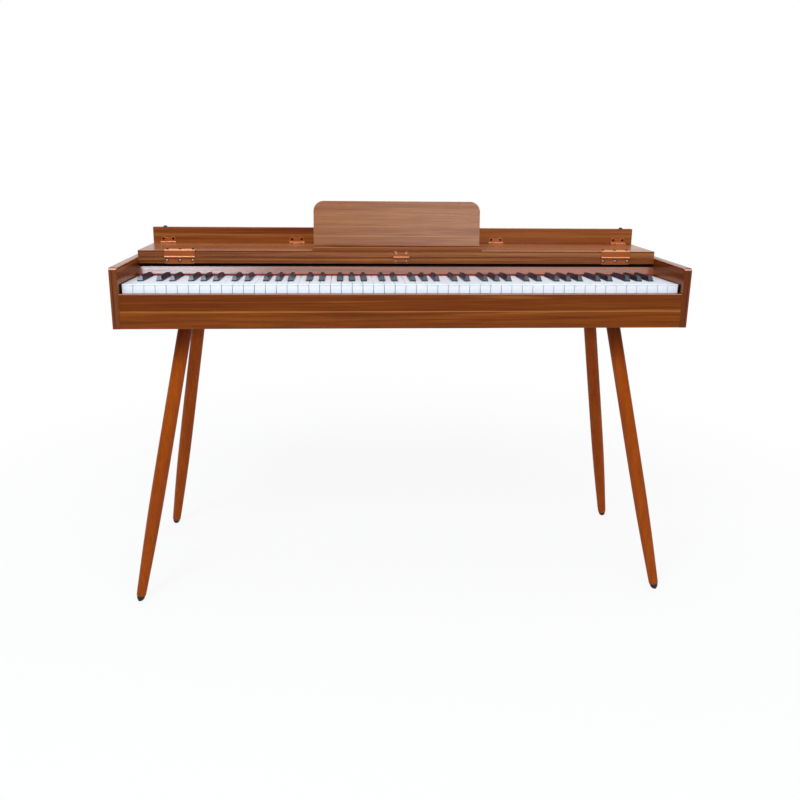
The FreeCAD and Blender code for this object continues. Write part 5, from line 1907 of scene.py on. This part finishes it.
    def build_leaves(self) -> None:
        """Make the leaves of all the hinges."""
        copper = self.palette["Copper_leaf"]
        large = self.large_middles()
        lower = [shell for middle in large for shell in self.large_lower(middle)]
        upper = [shell for middle in large for shell in self.large_upper(middle)]
        flaps = [self.flap_leaves(middle) for middle in self.flap_middles()]
        lid_side = [shell for on_lid, _ in flaps for shell in on_lid]
        flap_side = [shell for _, on_flap in flaps for shell in on_flap]
        finished_piece("lid_hinge_lower_shaped", joined(lower + self.centre_shells(-1)),
                       "cabinet", copper, replaced=("lid_hinge_lower_leaves",))
        finished_piece("lid_hinge_upper_shaped", joined(upper + self.centre_shells(1)),
                       "lid", copper, replaced=("lid_hinge_upper_leaves",))
        finished_piece("flap_hinge_lid_shaped", joined(lid_side), "lid", copper,
                       replaced=("flap_hinge_lid_leaves",))
        finished_piece("flap_hinge_shaped", joined(flap_side), "flap", copper,
                       replaced=("flap_hinge_leaves",))

    def build(self) -> None:
        """Make all the hinges and their screws."""
        self.build_leaves()
        steel = self.palette["Steel_screw"]
        dark = self.palette["Dark_screw"]
        finished_piece("cabinet_screw_heads", joined(self.cabinet_heads()), "cabinet",
                       steel, replaced=("cabinet_screws",))
        # Painted shadow round the cabinet's screw heads.
        finished_piece("cabinet_screw_shade_rings", joined(self.shade_rings()), "cabinet",
                       dark)
        lid, flap = self.lid_and_flap_heads()
        finished_piece("lid_screw_heads", joined(lid), "lid", dark,
                       replaced=("lid_screws",))
        small = self.centre_head.shell().moved(facing_front())
        upper = [small.shifted(*spot) for spot in self.centre_spots(1)]
        finished_piece("middle_hinge_screw_heads", joined(upper), "lid", steel)
        finished_piece("flap_screw_heads", joined(flap), "flap", dark,
                       replaced=("flap_screws",))


@dataclass
class Legs:
    """The four turned legs and their foot glides.

    A profile's heights run along the leg from the floor, and its radii belong to them.
    """

    palette: Palette
    foot_x: float = 0.608
    foot_y: float = 0.195
    heights: tuple[float, ...] = (
        0.012, 0.0124, 0.0135, 0.02, 0.05, 0.12, 0.18, 0.235, 0.35, 0.66
    )
    radii: tuple[float, ...] = (
        0.0092, 0.0100, 0.0105, 0.0108, 0.0118, 0.0139, 0.0151, 0.0158, 0.0160, 0.0157
    )
    rim_points: int = 4
    swell_start: float = 0.03
    swell_points: int = 24
    segments: int = 48
    glide_profile: Profile = (
        (0.0040, -0.004), (0.0046, 0.0), (0.0054, 0.001), (0.0070, 0.0029),
        (0.0080, 0.005), (0.0088, 0.008), (0.0091, 0.0105), (0.0091, 0.0122),
    )
    glide_segments: int = 32

    def aim(self, side_x: int, side_y: int) -> Matrix:
        """Stand a turned shape on a foot and lean it towards its leg plate.

        Args:
            side_x: -1 for the left and 1 for the right.
            side_y: -1 for the front and 1 for the rear.

        Returns:
            The matrix that takes the Z axis to the leg's.
        """
        foot = np.array([self.foot_x * side_x, self.foot_y * side_y, 0.0])
        head = np.array([LEG_HEAD[0] * side_x, LEG_HEAD[1] * side_y, BASE])
        along = (head - foot) / np.linalg.norm(head - foot)
        across = np.cross([0.0, 1.0, 0.0], along)
        across = across / np.linalg.norm(across)
        return placed_axes((across, np.cross(along, across), along), foot)

    def leg(self, aim: Matrix) -> Shell:
        """One leg: its radius swells with height, and its top lies flat on the plate.

        Between the table's heights the radius runs straight, and each point r of the swell
        then becomes (r before + 2 r + r after) / 4.

        Args:
            aim: the matrix that stands it on its foot.

        Returns:
            The closed leg.
        """
        rim = self.rim_points
        swell = np.linspace(self.swell_start, self.heights[-1], self.swell_points)
        fine = np.concatenate([self.heights[:rim], swell])
        radius = np.interp(fine, self.heights, self.radii)
        before, after = radius[rim - 1:-2], radius[rim + 1:]
        radius[rim:-1] = (before + 2.0 * radius[rim:-1] + after) / 4.0
        profile = list(zip(radius.tolist(), fine.tolist()))
        shell = lathe(profile, self.segments).moved(aim)
        points = shell.points.copy()
        points[:, 2] = np.minimum(points[:, 2], PLATE_LEVEL)
        return Shell(points, shell.faces)

    def glide(self, aim: Matrix) -> Shell:
        """The black foot under a leg, flat on the floor.

        Args:
            aim: the matrix that stands it on its foot.

        Returns:
            The closed glide.
        """
        shell = lathe(list(self.glide_profile), self.glide_segments).moved(aim)
        points = shell.points.copy()
        points[:, 2] = np.maximum(points[:, 2], 0.0)
        return Shell(points, shell.faces)

    def build(self) -> None:
        """Make the legs, each as its own piece, and the glides as one."""
        aims = {
            "leg_front_left": self.aim(-1, -1), "leg_front_right": self.aim(1, -1),
            "leg_rear_left": self.aim(-1, 1), "leg_rear_right": self.aim(1, 1),
        }
        for name, aim in aims.items():
            finished_piece(name + "_turned", self.leg(aim), "cabinet",
                           self.palette["Walnut_leg"], replaced=(name,))
        glides = [self.glide(aim) for aim in aims.values()]
        finished_piece("foot_glides_turned", joined(glides), "cabinet",
                       self.palette["Rubber"], replaced=("foot_glides",))


@dataclass
class MusicRest:
    """The leaning stand with its hinges, and the ledge in front of it."""

    palette: Palette
    shift: float = -0.009
    axis_y: float = 0.0095
    axis_z: float = BASE + 0.1515
    lean_degrees: float = 6.0
    width: float = 0.396
    low: float = 0.0065
    height: float = 0.10596
    thick: float = 0.009
    inset: float = 0.0015
    corner: float = 0.024
    corner_steps: int = 14
    foot_corner: float = 0.0006
    ease: float = 0.0012
    ease_steps: int = 4
    ledge_overhang: float = 0.004
    ledge_bevel: float = 0.0065
    ledge_foot: float = 0.0008
    ledge_height: float = 0.008
    ledge_depth: float = 0.014
    ledge_ease: float = 0.0009
    ledge_rear: float = 0.0005
    spread: float = 0.13
    leaf_width: float = 0.04
    leaf_thick: float = 0.001
    leaf_depth: float = 0.006
    leaf_top: float = 0.0215
    barrel_radius: float = 0.0017
    barrel_gap: float = 0.0001
    screw_head: ScrewHead = ScrewHead(0.002, 0.00042)
    screw_level: float = 0.0145
    screw_shares: tuple[float, float] = (0.2, 0.8)

    def lean(self) -> Matrix:
        """Lean a shape that is drawn from the hinge axis back about that axis."""
        turn = Matrix.Rotation(-math.radians(self.lean_degrees), 4, "X")
        return Matrix.Translation((self.shift, self.axis_y, self.axis_z)) @ turn

    def stand(self) -> Shell:
        """The plate: round upper corners and eased edges, drawn upright and then leaned.

        Returns:
            The closed plate.
        """
        corners = (self.foot_corner,) * 2 + (self.corner,) * 2
        outline = rounded_box_outline(
            self.width / 2.0, self.low, self.low + self.height, corners, self.corner_steps
        )
        front = self.thick - self.inset
        plate = prism(outline, -self.inset, front, self.ease, self.ease_steps)
        return plate.moved(facing_front()).moved(self.lean())

    def ledge(self) -> Shell:
        """The strip along the lid's edge, with bevelled ends and eased edges.

        Returns:
            The closed strip.
        """
        half = self.width / 2.0 + self.ledge_overhang
        crest = half - self.ledge_bevel
        outline = np.array([
            [-half, 0.0], [half, 0.0], [half, self.ledge_foot], [crest, self.ledge_height],
            [-crest, self.ledge_height], [-half, self.ledge_foot],
        ])
        strip = prism(outline, 0.0, self.ledge_depth, self.ledge_ease)
        return strip.moved(facing_front()).shifted(self.shift, self.ledge_rear, LID_TOP)

    def lid_leaf(self, left: float) -> list[Shell]:
        """The leaf of one small hinge that lies on the lid, with its two barrels.

        Args:
            left: its left end along X.

        Returns:
            The closed parts.
        """
        edge = self.axis_y - self.barrel_radius - LEAF_SLACK
        step = self.leaf_width / 3.0
        top = LID_TOP + self.leaf_thick
        shells = [block((left, edge - self.leaf_depth, LID_TOP),
                        (left + self.leaf_width, edge, top))]
        for i in (0, 2):
            start = left + step * i + self.barrel_gap
            end = left + step * (i + 1) - self.barrel_gap
            shells.append(barrel(start, end, self.barrel_radius, self.axis_y, self.axis_z))
            shells.append(block((start, edge - LEAF_SLACK, LID_TOP), (end, self.axis_y, top)))
        return shells

    def stand_leaf(self, left: float) -> list[Shell]:
        """The leaf of one small hinge on the stand's back, with its barrel and screws.

        Args:
            left: its left end along X.

        Returns:
            The closed parts, leaned with the stand.
        """
        reach = self.barrel_radius + LEAF_SLACK
        step = self.leaf_width / 3.0
        front = self.inset - self.leaf_thick
        start = left + step + self.barrel_gap
        end = left + 2.0 * step - self.barrel_gap
        shells = [
            block((left, front, reach), (left + self.leaf_width, self.inset, self.leaf_top)),
            block((start, front, 0.0), (end, self.inset, reach + LEAF_SLACK)),
            barrel(start, end, self.barrel_radius, 0.0, 0.0),
        ]
        screw = self.screw_head.shell().moved(facing_back())
        shells += [
            screw.shifted(left + self.leaf_width * share, self.inset, self.screw_level)
            for share in self.screw_shares
        ]
        return [shell.moved(self.lean()) for shell in shells]

    def build(self) -> None:
        """Make the stand, the ledge and their hinges."""
        finished_piece("music_stand_shaped", self.stand(), "stand",
                       self.palette["Walnut_stand"], replaced=("music_stand",))
        finished_piece("music_ledge_shaped", self.ledge(), "lid",
                       self.palette["Walnut_ledge"], replaced=("music_ledge",))
        lefts = [self.spread * side - self.leaf_width / 2.0 for side in (-1, 1)]
        fixed = [shell for left in lefts for shell in self.lid_leaf(left + self.shift)]
        moving = [shell for left in lefts for shell in self.stand_leaf(left)]
        finished_piece("stand_hinge_lid_shaped", joined(fixed), "lid",
                       self.palette["Copper_leaf"], replaced=("stand_hinge_lid_leaves",))
        finished_piece("stand_hinge_shaped", joined(moving), "stand",
                       self.palette["Copper_leaf"], replaced=("stand_hinge_leaves",))


@dataclass
class Fittings:
    """Small parts: the flap's bumpers, the rear sockets' trim and a dark strip under the shelf
    that stands in for the shadow in the slot there.

    A profile gives radius and height along the axis that it is turned about.
    """

    palette: Palette
    bumper_x: float = 0.584
    bumper_y: float = 0.1505
    bumper_profile: Profile = (
        (0.0045, 0.0), (0.0045, 0.0016), (0.0042, 0.0024), (0.0035, 0.003)
    )
    bumper_segments: int = 28
    flap_top: float = BASE + 0.1892
    socket_y: float = 0.17
    socket_z: float = BASE + 0.059
    jacks: tuple[float, ...] = (-0.5, -0.47)
    nut_profile: Profile = (
        (0.0036, 0.0), (0.0058, 0.0), (0.0056, 0.0018), (0.0038, 0.0022)
    )
    inlet: float = -0.41
    inlet_profile: Profile = (
        (0.0032, 0.0), (0.0048, 0.0), (0.0046, 0.001), (0.0034, 0.0013)
    )
    rim_segments: int = 32
    pin_profile: Profile = (
        (0.0009, 0.0), (0.001, 0.001), (0.001, 0.0095), (0.0006, 0.0105)
    )
    pin_segments: int = 20
    pin_depth: float = 0.0138
    port: float = -0.38
    tongue_half: tuple[float, float] = (0.004, 0.0016)
    tongue_reach: tuple[float, float] = (0.0068, 0.0012)
    # A black strip under the shelf's front edge, painted shadow for the slot there.
    shade_strip_low: Point = (-0.6125, -0.0112, BASE + 0.1124)
    shade_strip_high: Point = (0.6125, -0.0085, BASE + 0.1148)
    shade_strip_ease: float = 0.0003

    def bumpers(self) -> Shell:
        """Two rubber buttons with round rims.

        Returns:
            The closed buttons.
        """
        button = lathe(list(self.bumper_profile), self.bumper_segments)
        return joined([
            button.shifted(side * self.bumper_x, self.bumper_y, self.flap_top)
            for side in (-1, 1)
        ])

    def rims(self) -> Shell:
        """The nuts of the two jacks, and the power inlet's rim and pin.

        Returns:
            The closed parts.
        """
        nut = hoop(list(self.nut_profile), self.rim_segments).moved(facing_back())
        rim = hoop(list(self.inlet_profile), self.rim_segments).moved(facing_back())
        pin = lathe(list(self.pin_profile), self.pin_segments).moved(facing_back())
        parts = [nut.shifted(x, self.socket_y, self.socket_z) for x in self.jacks]
        parts.append(rim.shifted(self.inlet, self.socket_y, self.socket_z))
        parts.append(pin.shifted(self.inlet, self.socket_y - self.pin_depth, self.socket_z))
        return joined(parts)

    def tongue(self) -> Shell:
        """The data port's tongue.

        Returns:
            The closed bar.
        """
        half_x, half_z = self.tongue_half
        deep, shallow = self.tongue_reach
        return block(
            (self.port - half_x, self.socket_y - deep, self.socket_z - half_z),
            (self.port + half_x, self.socket_y - shallow, self.socket_z + half_z),
        )

    def build(self) -> None:
        """Make the bumpers, the socket trim and the dark strip of painted shadow under the
        shelf.
        """
        # The near-black fill here is for the strip of painted shadow under the shelf.
        felt = self.palette["Black_shade_fill"]
        shade_strip = block(self.shade_strip_low, self.shade_strip_high, self.shade_strip_ease)
        finished_piece("flap_bumpers_round", self.bumpers(), "flap",
                       self.palette["Rubber"], replaced=("flap_bumpers",))
        finished_piece("socket_rims", self.rims(), "cabinet",
                       self.palette["Steel_screw"])
        finished_piece("shelf_shade_strip", shade_strip, "cabinet", felt)
        finished_piece("data_port_tongue", self.tongue(), "cabinet",
                       self.palette["Black_plastic"])


# Studio.


@dataclass(frozen=True)
class Lamp:
    """A rectangular lamp: where it hangs, the point it faces, its watts and linear colour."""

    name: str
    place: Point
    aim: Point
    size: tuple[float, float]
    power: float
    colour: tuple[float, float, float] = (1.0, 1.0, 1.0)

    def hang(self) -> None:
        """Put the lamp into the scene."""
        data = bpy.data.lights.new(self.name, "AREA")
        data.shape = "RECTANGLE"
        data.size, data.size_y = self.size
        data.energy = self.power
        data.color = self.colour
        lamp = bpy.data.objects.new(self.name, data)
        place = Matrix.Translation(self.place)
        back = place.translation - Matrix.Translation(self.aim).translation
        lamp.matrix_world = place @ back.to_track_quat("Z", "Y").to_matrix().to_4x4()
        bpy.context.scene.collection.objects.link(lamp)


@dataclass
class Studio:
    """The pale floor, the soft lights and the camera."""

    eye: Point = (-0.13115, -1.83448, 1.01037)
    yaw: float = 3.5768
    pitch: float = 12.6613
    roll: float = 0.5991
    focal_px: float = 773.1245
    centre_px: tuple[float, float] = (393.1859, 328.9383)
    frame_px: float = 800.0
    sensor: float = 36.0
    clip: tuple[float, float] = (0.02, 60.0)
    gloss_behind: Ramp = Ramp(-0.25, 0.25)
    gloss_above: Ramp = Ramp(0.05, 0.6, 0.1, 0.9)
    dome_rise: Ramp = Ramp(-0.2, 0.6, 0.4125, 0.55)
    dome_rear: Ramp = Ramp(-0.1, 0.5, 1.0, 1.6)
    floor_reach: float = 9.0
    floor_colour: float = 0.75
    floor_roughness: float = 0.9
    floor_white: Ramp = Ramp(0.7, 1.9, 0.86, 1.0)
    lamps: tuple[Lamp, ...] = (
        Lamp("Window", (-1.2, -1.8, 2.83), (0.0, -0.05, 0.75), (0.85, 0.9), 41.0,
             (0.8, 0.93, 1.07)),
        Lamp("Ceiling", (0.5, -1.8, 2.83), (0.0, -0.05, 0.75), (2.4, 1.0), 24.0,
             (0.95, 0.99, 1.05)),
        Lamp("Room", (0.8, -3.2, 1.28), (0.1, 0.0, 0.85), (1.3, 0.8), 11.0,
             (0.9, 0.97, 1.06)),
        Lamp("Top", (0.0, -0.1, 3.3), (0.0, 0.0, 0.7), (3.0, 1.4), 16.0),
    )

    def camera(self) -> None:
        """Place the camera as the photograph was taken."""
        data = bpy.data.cameras.new("Camera")
        data.sensor_width = self.sensor
        data.lens = self.sensor * self.focal_px / self.frame_px
        data.shift_x = (self.frame_px / 2.0 - self.centre_px[0]) / self.frame_px
        data.shift_y = (self.centre_px[1] - self.frame_px / 2.0) / self.frame_px
        data.clip_start, data.clip_end = self.clip
        yaw, pitch, roll = (math.radians(a) for a in (self.yaw, self.pitch, self.roll))
        ahead = np.array([
            math.sin(yaw) * math.cos(pitch), math.cos(yaw) * math.cos(pitch), -math.sin(pitch)
        ])
        level = np.array([math.cos(yaw), -math.sin(yaw), 0.0])
        above = np.cross(level, ahead)
        right = level * math.cos(roll) + above * math.sin(roll)
        up = -level * math.sin(roll) + above * math.cos(roll)
        camera = bpy.data.objects.new("Camera", data)
        camera.matrix_world = placed_axes((right, up, -ahead), self.eye)
        bpy.context.scene.collection.objects.link(camera)
        bpy.context.scene.camera = camera

    def world(self) -> None:
        """A plain pale dome that is white to the camera.

        A glossy surface sees the white backdrop behind the piano and overhead, and the dark
        end of the room, where the camera stands, in front of it.
        """
        world = bpy.data.worlds.new("Studio")
        bpy.context.scene.world = world
        world.use_nodes = True
        sheet = NodeSheet(world.node_tree)
        world.node_tree.nodes.clear()
        path = sheet.add("ShaderNodeLightPath")
        place = sheet.parts(sheet.add("ShaderNodeTexCoord").outputs["Generated"]).outputs
        behind = sheet.remap(place["Y"], self.gloss_behind)
        above = sheet.remap(place["Z"], self.gloss_above)
        shown = sheet.math("MAXIMUM", behind, above)
        plain = sheet.remap(place["Z"], self.dome_rise)
        plain = sheet.math("MULTIPLY", plain, sheet.remap(place["Y"], self.dome_rear))
        gloss = path.outputs["Is Glossy Ray"]
        soft = sheet.add("ShaderNodeBackground")
        lit = sheet.math(
            "ADD", sheet.math("MULTIPLY", gloss, shown),
            sheet.math("MULTIPLY", sheet.math("SUBTRACT", 1.0, gloss), plain),
        )
        sheet.link(lit, soft.inputs["Strength"])
        white = sheet.add("ShaderNodeBackground")
        for background in (soft, white):
            background.inputs["Color"].default_value = (1.0, 1.0, 1.0, 1.0)
        white.inputs["Strength"].default_value = 1.0
        mixer = sheet.add("ShaderNodeMixShader")
        sheet.link(path.outputs["Is Camera Ray"], mixer.inputs[0])
        sheet.link(soft.outputs[0], mixer.inputs[1])
        sheet.link(white.outputs[0], mixer.inputs[2])
        output = sheet.add("ShaderNodeOutputWorld")
        sheet.link(mixer.outputs[0], output.inputs["Surface"])

    def floor_material(self) -> Material:
        """The floor's finish: matt, and turning white to the camera further out.

        Returns:
            The material.
        """
        material = bpy.data.materials.new("Floor_white")
        material.use_nodes = True
        sheet = NodeSheet(material.node_tree)
        shader = material.node_tree.nodes["Principled BSDF"]
        shader.inputs["Base Color"].default_value = (self.floor_colour,) * 3 + (1.0,)
        shader.inputs["Roughness"].default_value = self.floor_roughness
        shader.inputs["Specular IOR Level"].default_value = 0.0
        glow = sheet.add("ShaderNodeEmission")
        glow.inputs["Strength"].default_value = 1.0
        path = sheet.add("ShaderNodeLightPath")
        reached = sheet.add("ShaderNodeVectorMath", operation="LENGTH")
        sheet.link(sheet.add("ShaderNodeTexCoord").outputs["Object"], reached.inputs[0])
        far = sheet.remap(reached.outputs["Value"], self.floor_white)
        share = sheet.math("MULTIPLY", path.outputs["Is Camera Ray"], far)
        mixer = sheet.add("ShaderNodeMixShader")
        sheet.link(share, mixer.inputs[0])
        sheet.link(shader.outputs[0], mixer.inputs[1])
        sheet.link(glow.outputs[0], mixer.inputs[2])
        output = material.node_tree.nodes["Material Output"]
        sheet.link(mixer.outputs[0], output.inputs["Surface"])
        return material

    def floor(self) -> None:
        """A wide pale floor that keeps the piano's shadow."""
        reach = self.floor_reach
        mesh = bpy.data.meshes.new("Floor")
        corners = [(-reach, -reach, 0.0), (reach, -reach, 0.0), (reach, reach, 0.0),
                   (-reach, reach, 0.0)]
        mesh.from_pydata(corners, [], [(0, 1, 2, 3)])
        floor = bpy.data.objects.new("Floor", mesh)
        bpy.context.scene.collection.objects.link(floor)
        mesh.materials.append(self.floor_material())

    def build(self) -> None:
        """Set up the whole studio."""
        bpy.context.scene.view_settings.view_transform = "Standard"
        self.world()
        self.floor()
        for lamp in self.lamps:
            lamp.hang()
        self.camera()


def dress_nodes(frame: dict, palette: Palette) -> None:
    """Give each CAD node that is shown its finish.

    Args:
        palette: the finishes.
    """
    for node, finish in NODE_FINISHES.items():
        data = frame["nodes"][node].data
        data.materials.clear()
        data.materials.append(palette[finish])
        LOG.info("%s: %s", node, finish)


def main() -> None:
    """Build the piano's looks around its CAD frame."""
    logging.basicConfig(level=logging.INFO, format="%(message)s")
    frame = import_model()
    palette = Palette()
    dress_nodes(frame, palette)
    for part in (
        Keyboard(palette), Hinges(palette), Legs(palette), MusicRest(palette),
        Fittings(palette),
    ):
        part.build()
    Studio().build()


if __name__ == "__main__":
    main()
